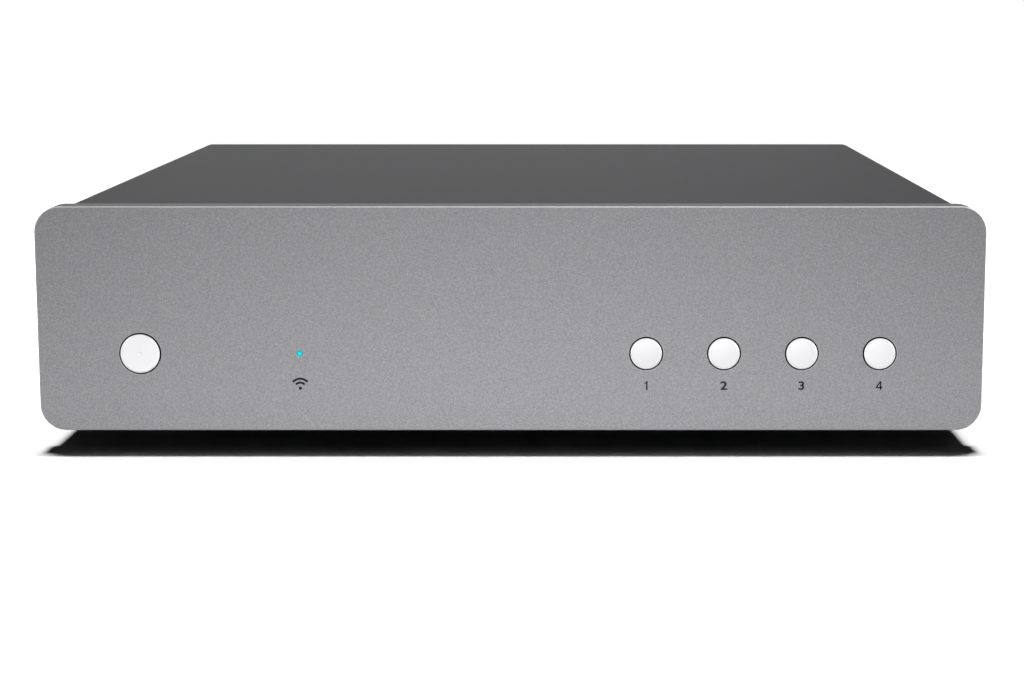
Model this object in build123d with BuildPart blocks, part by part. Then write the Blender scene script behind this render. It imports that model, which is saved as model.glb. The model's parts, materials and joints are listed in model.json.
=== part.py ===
from build123d import *
import os

os.makedirs("parts", exist_ok=True)

# Network music streamer: a half-width audio unit with a thick machined front panel, a folded
# wrap-round cover, five push buttons in front and its sockets behind. Lengths are in
# millimetres. X runs to the right, Y from the front to the back, Z up. The origin is on the
# surface that it stands on, under the middle of its outline.

# Overall form
PANEL_WIDTH = 215.0
PANEL_HEIGHT = 51.5
PANEL_THICK = 6.0
PANEL_CORNER = 5.9
PANEL_EDGE = 0.25  # bright chamfer round the front face
DEPTH = 191.0  # from the button faces to the tips of the aerial sockets
FOOT_GAP = 5.0  # under the front panel
COVER_REVEAL = 1.25  # the cover stands in by this much, all the way round
COVER_LIP = 12.0  # turned in under the case at each side
SHEET = 0.8
FOLD = 1.4  # fold radius of the chassis, at mid thickness
SLACK = 0.15  # between pieces that slide past each other in assembly

# Front controls
BUTTON_PROUD = 0.3
BUTTON_TRAVEL = 0.6
BUTTON_GAP = 0.35  # round each cap
CONTROL_Z = 22.8
POWER_X = -84.3
POWER_DIAMETER = 8.9
PRESET_X = 30.8
PRESET_PITCH = 17.7
PRESET_DIAMETER = 7.1
PRESET_COUNT = 4
LAMP_X = -48.0
LAMP_DIAMETER = 1.5

# Rear sockets, placed along X as seen from the front
SOCKET_REACH = 8.7  # aerial sockets past the cover
REAR_RECESS = 1.0  # rear panel inside the cover
MAINS_X = 82.0
USB_X = 40.0
ETHERNET_X = 18.0
OPTICAL_X = -6.0
PHONO_X = (-27.0, -48.0, -64.0)  # digital output, then the two line outputs
AERIAL_X = (60.0, -90.0)
AERIAL_Z = 38.0

# Screws and the holes that take them are drawn six-sided, the feet with twenty-four flats and
# the round forms that stay out of sight with sixteen
SCREW_SIDES = 6
ROUND_SIDES = 16
FOOT_SIDES = 24
M3_SHANK, M3_TAPPED, M3_CLEAR = 1.45, 1.5, 1.7
M25_SHANK, M25_TAPPED, M25_CLEAR = 1.2, 1.25, 1.45
SCREW_HEAD_WIDE, SCREW_HEAD_HIGH = 1.95, 1.25  # times the shank's radius

# Levels and depths worked out from the sizes above
FACE_Y = -DEPTH / 2 + BUTTON_PROUD
PANEL_BACK_Y = FACE_Y + PANEL_THICK
COVER_BACK_Y = DEPTH / 2 - SOCKET_REACH
REAR_Y = COVER_BACK_Y - REAR_RECESS
REAR_INNER_Y = REAR_Y - SHEET
PANEL_Z = FOOT_GAP + PANEL_HEIGHT / 2
COVER_LOW_Z = FOOT_GAP + COVER_REVEAL
COVER_TOP_Z = FOOT_GAP + PANEL_HEIGHT - COVER_REVEAL
COVER_HALF = PANEL_WIDTH / 2 - COVER_REVEAL
TRAY_LOW_Z = COVER_LOW_Z + SHEET
FLOOR_Z = TRAY_LOW_Z + SHEET
PRESETS = [PRESET_X + PRESET_PITCH * i for i in range(PRESET_COUNT)]
BUTTONS = [(POWER_X, POWER_DIAMETER / 2)] + [(x, PRESET_DIAMETER / 2) for x in PRESETS]


def across(y):
    """Plane across the case at depth y, its normal towards the front."""
    return Plane.XZ.offset(-y)


def level(z):
    """Level plane at height z."""
    return Plane.XY.offset(z)


def screw(radius, length):
    """Screw on the Z axis: its head below z = 0 and its shank above."""
    with BuildPart() as one:
        with BuildSketch(Plane.XY):
            RegularPolygon(radius, SCREW_SIDES)
        extrude(amount=length)
        with BuildSketch(Plane.XY):
            RegularPolygon(SCREW_HEAD_WIDE * radius, SCREW_SIDES)
        extrude(amount=-SCREW_HEAD_HIGH * radius)
    return one.part


# Where things are screwed down
PANEL_SCREWS = [(x, 47.0) for x in (-92.0, 92.0)]
GUIDE_SCREW_X = (-70.0, -14.0, 94.6)
COVER_SCREWS = [(x, y) for x in (-98.5, 98.5) for y in (-60.0, 60.0)]
FEET = [(x, y) for x in (-84.0, 84.0) for y in (-66.0, 67.0)]
REAR_FLANGE_SCREWS = [(x, REAR_INNER_Y - 6.0) for x in (-60.0, 60.0)]
MAIN_POSTS = [(-96.0, -40.0), (47.0, -40.0), (-96.0, 50.0), (47.0, 50.0)]
POWER_POSTS = [(58.0, -41.0), (97.0, -41.0), (58.0, 58.0)]
POST_HEIGHT = 8.4
BOARD_Z = FLOOR_Z + POST_HEIGHT
BOARD_THICK = 1.6
BOARD_TOP_Z = BOARD_Z + BOARD_THICK

# Front panel: a machined plate with a bright edge, bored for the buttons and the lamp and
# tapped from behind
PANEL_TAP_DEPTH = 4.5

with BuildPart() as front_panel:
    with BuildSketch(across(FACE_Y)):
        with Locations((0, PANEL_Z)):
            RectangleRounded(PANEL_WIDTH, PANEL_HEIGHT, PANEL_CORNER)
    extrude(amount=-PANEL_THICK)
    chamfer(front_panel.faces().sort_by(Axis.Y)[0].edges(), PANEL_EDGE)
    with BuildSketch(across(FACE_Y)):
        for x, radius in BUTTONS:
            with Locations((x, CONTROL_Z)):
                Circle(radius + BUTTON_GAP)
        with Locations((LAMP_X, CONTROL_Z)):
            Circle(LAMP_DIAMETER / 2)
    extrude(amount=-PANEL_THICK, mode=Mode.SUBTRACT)
    with BuildSketch(across(PANEL_BACK_Y)):
        with Locations(*PANEL_SCREWS, *[(x, CONTROL_Z) for x in GUIDE_SCREW_X]):
            RegularPolygon(M3_TAPPED, SCREW_SIDES)
    extrude(amount=PANEL_TAP_DEPTH, mode=Mode.SUBTRACT)
front_panel.part.label = "front_panel"
export_step(front_panel.part, "parts/front_panel.step")

# Top cover: one folded sheet round the top and both sides, its corners concentric with those
# of the panel, turned in below as lips that are screwed up into the tray
COVER_FOLD = PANEL_CORNER - COVER_REVEAL - SHEET / 2

with BuildPart() as top_cover:
    side = COVER_HALF - SHEET / 2
    lip_end = COVER_HALF - COVER_LIP
    low = COVER_LOW_Z + SHEET / 2
    top = COVER_TOP_Z - SHEET / 2
    with BuildSketch(across(PANEL_BACK_Y)):
        with BuildLine():
            FilletPolyline(
                (-lip_end, low), (-side, low), (-side, top), (side, top), (side, low), (lip_end, low),
                radius=COVER_FOLD,
            )
        trace(line_width=SHEET)
    extrude(amount=PANEL_BACK_Y - COVER_BACK_Y)
    with BuildSketch(level(COVER_LOW_Z)):
        with Locations(*COVER_SCREWS):
            RegularPolygon(M3_CLEAR, SCREW_SIDES)
    extrude(amount=SHEET, mode=Mode.SUBTRACT)
top_cover.part.label = "top_cover"
export_step(top_cover.part, "parts/top_cover.step")

# Base tray: floor and low side walls from one fold, and the bulkhead behind the front panel
# from another, with a flange under the cover's top. The slots let air in under the boards.
# Posts for the boards and nuts for the feet and the cover are pressed into it.
TRAY_HALF = COVER_HALF - SHEET - 0.5
TRAY_WALL_TOP_Z = 22.0
TRAY_SIDE_FOLD = 3.6
TRAY_START_Y = PANEL_BACK_Y + 5.0
BULKHEAD_HALF = 100.5
BULKHEAD_TOP_Z = COVER_TOP_Z - SHEET - SLACK
BULKHEAD_FLANGE = 10.0
REAR_FOLD_HALF = 98.0
VENT_LENGTH, VENT_WIDTH, VENT_PITCH, VENT_COUNT = 30.0, 3.2, 8.0, 6
VENT_CENTRES = [(-50.0, 5.0), (20.0, 5.0)]
POST_RADIUS = 2.75
POST_FLOOR = 1.0  # left below the tapped holes of the posts
NUT_HEIGHT = 2.0
FLANGE_OVERLAP = 1.4  # of the plungers' flanges on the back of the front panel
FLANGE_ROOM = 0.5
PIPE_SHOULDER = 4.4


def flange_width(cap_radius):
    """Width of the square flange of the plunger behind a cap."""
    return 2 * (cap_radius + BUTTON_GAP + FLANGE_OVERLAP)


def plunger_window(cap_radius):
    """Width of the square window that clears that flange."""
    return flange_width(cap_radius) + 2 * FLANGE_ROOM


with BuildPart() as base_tray:
    side = TRAY_HALF - SHEET / 2
    floor = TRAY_LOW_Z + SHEET / 2
    with BuildSketch(across(TRAY_START_Y)):
        with BuildLine():
            FilletPolyline(
                (-side, TRAY_WALL_TOP_Z), (-side, floor), (side, floor), (side, TRAY_WALL_TOP_Z),
                radius=TRAY_SIDE_FOLD,
            )
        trace(line_width=SHEET)
    extrude(amount=TRAY_START_Y - REAR_INNER_Y + SLACK)
    with BuildSketch(level(TRAY_LOW_Z)):
        with Locations((0, REAR_Y)):
            Rectangle(2 * REAR_FOLD_HALF, 2.0, align=(Align.CENTER, Align.MAX))
    extrude(amount=SHEET)
    with BuildSketch(Plane.YZ):
        with BuildLine():
            wall = PANEL_BACK_Y + SHEET / 2
            flange = BULKHEAD_TOP_Z - SHEET / 2
            FilletPolyline(
                (TRAY_START_Y, floor), (wall, floor), (wall, flange), (wall + BULKHEAD_FLANGE, flange),
                radius=FOLD,
            )
        trace(line_width=SHEET)
    extrude(amount=BULKHEAD_HALF, both=True)
    with BuildSketch(level(FLOOR_Z)):
        with Locations(*MAIN_POSTS, *POWER_POSTS):
            RegularPolygon(POST_RADIUS, SCREW_SIDES)
    extrude(amount=POST_HEIGHT)
    with BuildSketch(level(FLOOR_Z)):
        with Locations(*COVER_SCREWS, *FEET):
            RegularPolygon(POST_RADIUS, SCREW_SIDES)
    extrude(amount=NUT_HEIGHT)
    # Openings through the sheet
    with BuildSketch(across(PANEL_BACK_Y)):
        for x, radius in BUTTONS:
            with Locations((x, CONTROL_Z)):
                Rectangle(plunger_window(radius), plunger_window(radius))
        with Locations((LAMP_X, CONTROL_Z)):
            Rectangle(PIPE_SHOULDER + 0.4, PIPE_SHOULDER + 0.4)
        with Locations(*PANEL_SCREWS, *[(x, CONTROL_Z) for x in GUIDE_SCREW_X]):
            RegularPolygon(M3_CLEAR, SCREW_SIDES)
    extrude(amount=-SHEET, mode=Mode.SUBTRACT)
    with BuildSketch(level(TRAY_LOW_Z)):
        for centre in VENT_CENTRES:
            with Locations(centre):
                with GridLocations(VENT_PITCH, 0, VENT_COUNT, 1):
                    Rectangle(VENT_WIDTH, VENT_LENGTH)
        with Locations(*REAR_FLANGE_SCREWS):
            RegularPolygon(M3_CLEAR, SCREW_SIDES)
    extrude(amount=SHEET, mode=Mode.SUBTRACT)
    with BuildSketch(level(TRAY_LOW_Z)):
        with Locations(*COVER_SCREWS, *FEET):
            RegularPolygon(M3_TAPPED, SCREW_SIDES)
    extrude(amount=SHEET + NUT_HEIGHT, mode=Mode.SUBTRACT)
    with BuildSketch(level(BOARD_Z)):
        with Locations(*MAIN_POSTS, *POWER_POSTS):
            RegularPolygon(M25_TAPPED, SCREW_SIDES)
    extrude(amount=POST_FLOOR - POST_HEIGHT, mode=Mode.SUBTRACT)
base_tray.part.label = "base_tray"
export_step(base_tray.part, "parts/base_tray.step")

# Rear panel: a folded plate inside the cover's mouth, on a flange that is screwed to the
# tray. Sizes of the sockets come first, because the panel is cut out to them.
CUT_CLEAR = 0.25
MAINS_BODY = (20.0, 11.4)
MAINS_Z = 25.0
USB_SHELL = (13.1, 5.7)
USB_Z = BOARD_TOP_Z + USB_SHELL[1] / 2
ETHERNET_BODY = (16.0, 13.5)
ETHERNET_Z = BOARD_TOP_Z + ETHERNET_BODY[1] / 2
OPTICAL_BODY = (13.5, 10.6)
OPTICAL_Z = BOARD_TOP_Z + OPTICAL_BODY[1] / 2
PHONO_Z = BOARD_TOP_Z + 8.15
PHONO_CORE_RADIUS = 3.35
AERIAL_THREAD_RADIUS = 3.175
REAR_FLANGE = 12.0
REAR_PANEL_HALF = COVER_HALF - SHEET - SLACK
PHONO_SCREW_X = (PHONO_X[1] + PHONO_X[2]) / 2

with BuildPart() as rear_panel:
    height = COVER_TOP_Z - SHEET - SLACK - TRAY_LOW_Z
    with BuildSketch(across(REAR_INNER_Y)):
        with Locations((0, TRAY_LOW_Z + height / 2)):
            RectangleRounded(2 * REAR_PANEL_HALF, height, PANEL_CORNER - COVER_REVEAL - SHEET)
            Rectangle(2 * REAR_FOLD_HALF, height + 1, mode=Mode.SUBTRACT)
    extrude(amount=-SHEET)
    with BuildSketch(Plane.YZ):
        with BuildLine():
            wall = REAR_INNER_Y + SHEET / 2
            floor = FLOOR_Z + SHEET / 2
            top = COVER_TOP_Z - SHEET - SLACK - SHEET / 2
            FilletPolyline(
                (wall - REAR_FLANGE, floor), (wall, floor), (wall, top), (wall - REAR_FLANGE, top),
                radius=FOLD,
            )
        trace(line_width=SHEET)
    extrude(amount=REAR_FOLD_HALF, both=True)
    with BuildSketch(across(REAR_INNER_Y)):
        with Locations((MAINS_X, MAINS_Z)):
            Rectangle(MAINS_BODY[0] + 2 * CUT_CLEAR, MAINS_BODY[1] + 2 * CUT_CLEAR)
        with Locations((USB_X, USB_Z)):
            Rectangle(USB_SHELL[0] + 2 * CUT_CLEAR, USB_SHELL[1] + 2 * CUT_CLEAR)
        with Locations((ETHERNET_X, ETHERNET_Z)):
            Rectangle(ETHERNET_BODY[0] + 2 * CUT_CLEAR, ETHERNET_BODY[1] + 2 * CUT_CLEAR)
        with Locations((OPTICAL_X, OPTICAL_Z)):
            Rectangle(OPTICAL_BODY[0] + 2 * CUT_CLEAR, OPTICAL_BODY[1] + 2 * CUT_CLEAR)
        with Locations(*[(x, PHONO_Z) for x in PHONO_X]):
            RegularPolygon(PHONO_CORE_RADIUS + CUT_CLEAR, ROUND_SIDES)
        with Locations(*[(x, AERIAL_Z) for x in AERIAL_X]):
            RegularPolygon(AERIAL_THREAD_RADIUS + CUT_CLEAR, ROUND_SIDES)
        with Locations((PHONO_SCREW_X, PHONO_Z)):
            RegularPolygon(M3_CLEAR, SCREW_SIDES)
    extrude(amount=-SHEET, mode=Mode.SUBTRACT)
    with BuildSketch(level(FLOOR_Z)):
        with Locations(*REAR_FLANGE_SCREWS):
            RegularPolygon(M3_TAPPED, SCREW_SIDES)
    extrude(amount=SHEET, mode=Mode.SUBTRACT)
rear_panel.part.label = "rear_panel"
export_step(rear_panel.part, "parts/rear_panel.step")

# Insulation sheet on the tray's floor, under the mains circuits
INSULATION_THICK = 0.4

with BuildPart() as insulation_sheet:
    with BuildSketch(level(FLOOR_Z)):
        with Locations((81.0, 9.5)):
            Rectangle(38.0, 93.0)
    extrude(amount=INSULATION_THICK)
insulation_sheet.part.label = "insulation_sheet"
export_step(insulation_sheet.part, "parts/insulation_sheet.step")

# Feet: moulded rubber, slightly coned, each with a well for its screw
FOOT_RADIUS = 8.1
FOOT_DRAFT = 7.0
FOOT_WELL_RADIUS = 3.6
FOOT_WELL_DEPTH = 3.2

with BuildPart() as feet:
    with BuildSketch(level(0)):
        with Locations(*FEET):
            RegularPolygon(FOOT_RADIUS, FOOT_SIDES)
    extrude(amount=TRAY_LOW_Z, taper=-FOOT_DRAFT)
    with BuildSketch(level(0)):
        with Locations(*FEET):
            RegularPolygon(FOOT_WELL_RADIUS, ROUND_SIDES)
    extrude(amount=FOOT_WELL_DEPTH, mode=Mode.SUBTRACT)
    with BuildSketch(level(0)):
        with Locations(*FEET):
            RegularPolygon(M3_CLEAR, SCREW_SIDES)
    extrude(amount=TRAY_LOW_Z, mode=Mode.SUBTRACT)
feet.part.label = "feet"
export_step(feet.part, "parts/feet.step")

with BuildPart() as foot_screws:
    with Locations(*[(x, y, FOOT_WELL_DEPTH) for x, y in FEET]):
        add(screw(M3_SHANK, FLOOR_Z + NUT_HEIGHT - FOOT_WELL_DEPTH))
foot_screws.part.label = "foot_screws"
export_step(foot_screws.part, "parts/foot_screws.step")

# Front controls. Each turned cap is pressed on the square spigot of a moulded plunger, whose
# flange stops behind the panel; its square stem slides in the guide bar, so that it can't
# turn, and pushes the stem of a key switch.
FLANGE_THICK = 1.2
GUIDE_THICK = 3.0
GUIDE_LEFT, GUIDE_RIGHT, GUIDE_HEIGHT = -93.0, 98.0, 16.0
GUIDE_POCKET = 1.5
STEM = 4.4
STEM_RUN = 0.1  # running clearance of the plunger in the guide
COLLAR = 7.4
COLLAR_LENGTH = 3.2
SWITCH_HEIGHT = 3.0
SWITCH_WIDTH = 6.0
ACTUATOR = 2.8
ACTUATOR_PROUD = 1.0
ACTUATOR_LENGTH = 2.4
CAP_EDGE = 0.25
CAP_SOCKET, CAP_SOCKET_DEPTH = 3.6, 3.2
SPIGOT, SPIGOT_LENGTH = 3.5, 3.0
PIP_RADIUS, PIP_DEPTH = 0.45, 0.2

GUIDE_Y = PANEL_BACK_Y + SHEET
GUIDE_BACK_Y = GUIDE_Y + GUIDE_THICK
PLUNGER_END_Y = GUIDE_BACK_Y + COLLAR_LENGTH + BUTTON_TRAVEL + 0.9
SWITCH_Y = PLUNGER_END_Y + ACTUATOR_PROUD
CONTROL_BOARD_Y = SWITCH_Y + SWITCH_HEIGHT
FLANGE_Y = PANEL_BACK_Y + 0.05


def cap(x, radius, pip):
    """Turned metal button cap at x, with a square socket behind for its plunger."""
    with BuildPart() as one:
        with BuildSketch(across(-DEPTH / 2)):
            with Locations((x, CONTROL_Z)):
                Circle(radius)
        extrude(amount=-DEPTH / 2 - FLANGE_Y)
        chamfer(one.faces().sort_by(Axis.Y)[0].edges(), CAP_EDGE)
        with BuildSketch(across(FLANGE_Y)):
            with Locations((x, CONTROL_Z)):
                Rectangle(CAP_SOCKET, CAP_SOCKET)
        extrude(amount=CAP_SOCKET_DEPTH, mode=Mode.SUBTRACT)
        if pip:
            with BuildSketch(across(-DEPTH / 2)):
                with Locations((x, CONTROL_Z)):
                    RegularPolygon(PIP_RADIUS, ROUND_SIDES)
            extrude(amount=-PIP_DEPTH, taper=45, mode=Mode.SUBTRACT)
    return one.part


def plunger(x, radius):
    """Moulded plunger behind the cap at x: spigot, stop flange and stem, all square."""
    with BuildPart() as one:
        with BuildSketch(across(FLANGE_Y)):
            with Locations((x, CONTROL_Z)):
                Rectangle(SPIGOT, SPIGOT)
        extrude(amount=SPIGOT_LENGTH)
        with BuildSketch(across(FLANGE_Y)):
            with Locations((x, CONTROL_Z)):
                Rectangle(flange_width(radius), flange_width(radius))
        extrude(amount=-FLANGE_THICK)
        with BuildSketch(across(FLANGE_Y + FLANGE_THICK)):
            with Locations((x, CONTROL_Z)):
                Rectangle(STEM, STEM)
        extrude(amount=FLANGE_Y + FLANGE_THICK - PLUNGER_END_Y)
    return one.part


def actuator(x):
    """Moving stem of the key switch at x."""
    with BuildPart() as one:
        with BuildSketch(across(PLUNGER_END_Y)):
            with Locations((x, CONTROL_Z)):
                Rectangle(ACTUATOR, ACTUATOR)
        extrude(amount=-ACTUATOR_LENGTH)
    return one.part


for number, (x, radius) in enumerate(BUTTONS):
    suffix = f"_{number}" if number else ""
    role = "preset" if number else "power"
    pieces = {
        f"{role}_button{suffix}": cap(x, radius, pip=number == 0),
        f"{role}_plunger{suffix}": plunger(x, radius),
        f"{role}_actuator{suffix}": actuator(x),
    }
    for name, piece in pieces.items():
        piece.label = name
        export_step(piece, f"parts/{name}.step")

# Guide bar: a moulding on the back of the bulkhead with a pocket and a collar for each
# plunger, a boss for the light pipe and posts that carry the control board
PIPE_WIDTH = 3.0
BOARD_POST_X = (-60.0, PRESET_X + 2.5 * PRESET_PITCH)
BOARD_POST, BOARD_POST_TAP = 4.8, 6.0

with BuildPart() as button_guide:
    with BuildSketch(across(GUIDE_Y)):
        with Locations(((GUIDE_LEFT + GUIDE_RIGHT) / 2, CONTROL_Z)):
            Rectangle(GUIDE_RIGHT - GUIDE_LEFT, GUIDE_HEIGHT)
    extrude(amount=-GUIDE_THICK)
    with BuildSketch(across(GUIDE_BACK_Y)):
        with Locations(*[(x, CONTROL_Z) for x, radius in BUTTONS], (LAMP_X, CONTROL_Z)):
            Rectangle(COLLAR, COLLAR)
    extrude(amount=-COLLAR_LENGTH)
    with BuildSketch(across(GUIDE_BACK_Y)):
        with Locations(*[(x, CONTROL_Z) for x in BOARD_POST_X]):
            Rectangle(BOARD_POST, BOARD_POST)
    extrude(amount=GUIDE_BACK_Y - CONTROL_BOARD_Y)
    with BuildSketch(across(GUIDE_Y)):
        for x, radius in BUTTONS:
            with Locations((x, CONTROL_Z)):
                Rectangle(plunger_window(radius), plunger_window(radius))
    extrude(amount=-GUIDE_POCKET, mode=Mode.SUBTRACT)
    with BuildSketch(across(GUIDE_Y)):
        with Locations(*[(x, CONTROL_Z) for x, radius in BUTTONS]):
            Rectangle(STEM + 2 * STEM_RUN, STEM + 2 * STEM_RUN)
        with Locations((LAMP_X, CONTROL_Z)):
            Rectangle(PIPE_WIDTH + 0.1, PIPE_WIDTH + 0.1)
    extrude(amount=-GUIDE_THICK - COLLAR_LENGTH, mode=Mode.SUBTRACT)
    with BuildSketch(across(GUIDE_Y)):
        with Locations(*[(x, CONTROL_Z) for x in GUIDE_SCREW_X]):
            RegularPolygon(M3_CLEAR, SCREW_SIDES)
    extrude(amount=-GUIDE_THICK, mode=Mode.SUBTRACT)
    with BuildSketch(across(CONTROL_BOARD_Y)):
        with Locations(*[(x, CONTROL_Z) for x in BOARD_POST_X]):
            RegularPolygon(M25_TAPPED, SCREW_SIDES)
    extrude(amount=BOARD_POST_TAP, mode=Mode.SUBTRACT)
button_guide.part.label = "button_guide"
export_step(button_guide.part, "parts/button_guide.step")

# Key switches: five square bodies on the control board, each with a well for its stem
with BuildPart() as key_switches:
    with BuildSketch(across(SWITCH_Y)):
        with Locations(*[(x, CONTROL_Z) for x, radius in BUTTONS]):
            Rectangle(SWITCH_WIDTH, SWITCH_WIDTH)
    extrude(amount=-SWITCH_HEIGHT)
    with BuildSketch(across(SWITCH_Y)):
        with Locations(*[(x, CONTROL_Z) for x, radius in BUTTONS]):
            Rectangle(ACTUATOR + 0.2, ACTUATOR + 0.2)
    extrude(amount=-(ACTUATOR_LENGTH - ACTUATOR_PROUD + BUTTON_TRAVEL + 0.3), mode=Mode.SUBTRACT)
key_switches.part.label = "key_switches"
export_step(key_switches.part, "parts/key_switches.step")

# Control board, standing behind the guide, with the ribbon's header on its back
HEADER_X = -20.0
HEADER_SIZE = (16.0, 5.0, 4.0)
CONTROL_BOARD_BACK_Y = CONTROL_BOARD_Y + BOARD_THICK

with BuildPart() as control_board:
    with BuildSketch(across(CONTROL_BOARD_Y)):
        with Locations((0, CONTROL_Z)):
            Rectangle(184.0, 17.0)
        with Locations(*[(x, CONTROL_Z) for x in BOARD_POST_X]):
            RegularPolygon(M25_CLEAR, SCREW_SIDES, mode=Mode.SUBTRACT)
    extrude(amount=-BOARD_THICK)
    with BuildSketch(across(CONTROL_BOARD_BACK_Y)):
        with Locations((HEADER_X, CONTROL_Z)):
            Rectangle(HEADER_SIZE[0], HEADER_SIZE[1])
    extrude(amount=-HEADER_SIZE[2])
control_board.part.label = "control_board"
export_step(control_board.part, "parts/control_board.step")

# Light pipe: a clear round nose flush with the panel, and a square shoulder and shaft behind
LED_SIZE = (3.2, 1.6, 1.4)
PIPE_END_Y = CONTROL_BOARD_Y - LED_SIZE[2] - 0.2

with BuildPart() as light_pipe:
    with BuildSketch(across(FACE_Y)):
        with Locations((LAMP_X, CONTROL_Z)):
            Circle(LAMP_DIAMETER / 2 - 0.03)
    extrude(amount=-PANEL_THICK)
    with BuildSketch(across(PANEL_BACK_Y)):
        with Locations((LAMP_X, CONTROL_Z)):
            Rectangle(PIPE_SHOULDER, PIPE_SHOULDER)
    extrude(amount=-SHEET)
    with BuildSketch(across(GUIDE_Y)):
        with Locations((LAMP_X, CONTROL_Z)):
            Rectangle(PIPE_WIDTH, PIPE_WIDTH)
    extrude(amount=GUIDE_Y - PIPE_END_Y)
light_pipe.part.label = "light_pipe"
export_step(light_pipe.part, "parts/light_pipe.step")

with BuildPart() as status_led:
    with BuildSketch(across(CONTROL_BOARD_Y)):
        with Locations((LAMP_X, CONTROL_Z)):
            Rectangle(LED_SIZE[0], LED_SIZE[1])
    extrude(amount=LED_SIZE[2])
status_led.part.label = "status_led"
export_step(status_led.part, "parts/status_led.step")

# Main board: streaming, conversion and every signal socket
MAIN_BOARD_LEFT, MAIN_BOARD_RIGHT = -101.0, 52.0
BOARD_FRONT_Y = -46.0
BOARD_BACK_Y = REAR_INNER_Y - 0.8


def board(left, right, posts):
    """Circuit board between left and right, drilled over its posts."""
    with BuildPart() as one:
        with BuildSketch(level(BOARD_Z)):
            with Locations(((left + right) / 2, (BOARD_FRONT_Y + BOARD_BACK_Y) / 2)):
                Rectangle(right - left, BOARD_BACK_Y - BOARD_FRONT_Y)
            with Locations(*posts):
                RegularPolygon(M25_CLEAR, SCREW_SIDES, mode=Mode.SUBTRACT)
        extrude(amount=BOARD_THICK)
    return one.part


main_board = board(MAIN_BOARD_LEFT, MAIN_BOARD_RIGHT, MAIN_POSTS)
main_board.label = "main_board"
export_step(main_board, "parts/main_board.step")

POWER_BOARD_LEFT, POWER_BOARD_RIGHT = 54.0, 102.0

power_board = board(POWER_BOARD_LEFT, POWER_BOARD_RIGHT, POWER_POSTS)
power_board.label = "power_board"
export_step(power_board, "parts/power_board.step")

# Network module on two header strips, under a folded shield can
MODULE_CENTRE = (-62.0, 12.0)
MODULE_SIZE = (42.0, 32.0, 1.2)
MODULE_HEADER = (2.5, 28.0, 4.0)
MODULE_Z = BOARD_TOP_Z + MODULE_HEADER[2]
MODULE_TOP_Z = MODULE_Z + MODULE_SIZE[2]
AERIAL_PLUG_X = (MODULE_CENTRE[0] + 10.0, MODULE_CENTRE[0] - 10.0)
AERIAL_PLUG_Y = MODULE_CENTRE[1] + 13.5
AERIAL_PLUG = (2.4, 1.3)
CAN_SIZE = (30.0, 20.0, 2.6)
CAN_WALL = 0.3

with BuildPart() as network_module:
    with BuildSketch(level(MODULE_Z)):
        with Locations(MODULE_CENTRE):
            Rectangle(MODULE_SIZE[0], MODULE_SIZE[1])
    extrude(amount=MODULE_SIZE[2])
    with BuildSketch(level(MODULE_TOP_Z)):
        with Locations(*[(x, AERIAL_PLUG_Y) for x in AERIAL_PLUG_X]):
            Rectangle(AERIAL_PLUG[0], AERIAL_PLUG[0])
    extrude(amount=AERIAL_PLUG[1])
network_module.part.label = "network_module"
export_step(network_module.part, "parts/network_module.step")

with BuildPart() as module_shield:
    with BuildSketch(level(MODULE_TOP_Z)):
        with Locations((MODULE_CENTRE[0], MODULE_CENTRE[1] - 3.0)):
            Rectangle(CAN_SIZE[0], CAN_SIZE[1])
    extrude(amount=CAN_SIZE[2])
    offset(amount=-CAN_WALL, openings=module_shield.faces().sort_by(Axis.Z)[0])
module_shield.part.label = "module_shield"
export_step(module_shield.part, "parts/module_shield.step")

# Chips, coils, headers and lead connectors: x, y, then their length, width and height
RIBBON_HEADER_Y = -38.0
LEAD_Y = -20.0
MAIN_LEAD_X, POWER_LEAD_X = 44.0, 61.0
LEAD_CONNECTOR = (6.0, 12.0, 5.0)
COMPONENTS = [
    (0.0, 8.0, 14.0, 14.0, 1.4),
    (0.0, -18.0, 12.0, 18.0, 1.1),
    (-30.0, 36.0, 10.0, 10.0, 1.2),
    (28.0, 4.0, 10.0, 10.0, 5.0),
    (28.0, 20.0, 10.0, 10.0, 5.0),
    (MODULE_CENTRE[0] - 18.0, MODULE_CENTRE[1], *MODULE_HEADER),
    (MODULE_CENTRE[0] + 18.0, MODULE_CENTRE[1], *MODULE_HEADER),
    (HEADER_X, RIBBON_HEADER_Y, HEADER_SIZE[0], HEADER_SIZE[1], HEADER_SIZE[2]),
    (MAIN_LEAD_X, LEAD_Y, *LEAD_CONNECTOR),
    (POWER_LEAD_X, LEAD_Y, *LEAD_CONNECTOR),
]

with BuildPart() as board_components:
    for x, y, length, width, height in COMPONENTS:
        with BuildSketch(level(BOARD_TOP_Z)):
            with Locations((x, y)):
                Rectangle(length, width)
        extrude(amount=height)
board_components.part.label = "board_components"
export_step(board_components.part, "parts/board_components.step")

# Capacitors of the output stage, upright behind the phono sockets
with BuildPart() as board_capacitors:
    with BuildSketch(level(BOARD_TOP_Z)):
        with Locations((-56.0, 50.0)):
            with GridLocations(16.0, 12.0, 2, 2):
                RegularPolygon(4.0, ROUND_SIDES)
    extrude(amount=11.0)
board_capacitors.part.label = "board_capacitors"
export_step(board_capacitors.part, "parts/board_capacitors.step")

# Mains supply: a two-window core round its winding, the reservoir capacitor, a finned heat
# sink, the fuse in its clips and the double choke of the mains filter
CORE_CENTRE = (79.0, -10.0)
CORE_SIZE = (28.0, 10.0, 24.0)
CORE_LEG = 4.0
CENTRE_LEG = 8.0
WINDOW = (CORE_SIZE[0] / 2 - CORE_LEG - CENTRE_LEG / 2, CORE_SIZE[2] - 2 * CORE_LEG)
WINDING_DEPTH = 20.0
WINDING_EDGE = 3.0

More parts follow.
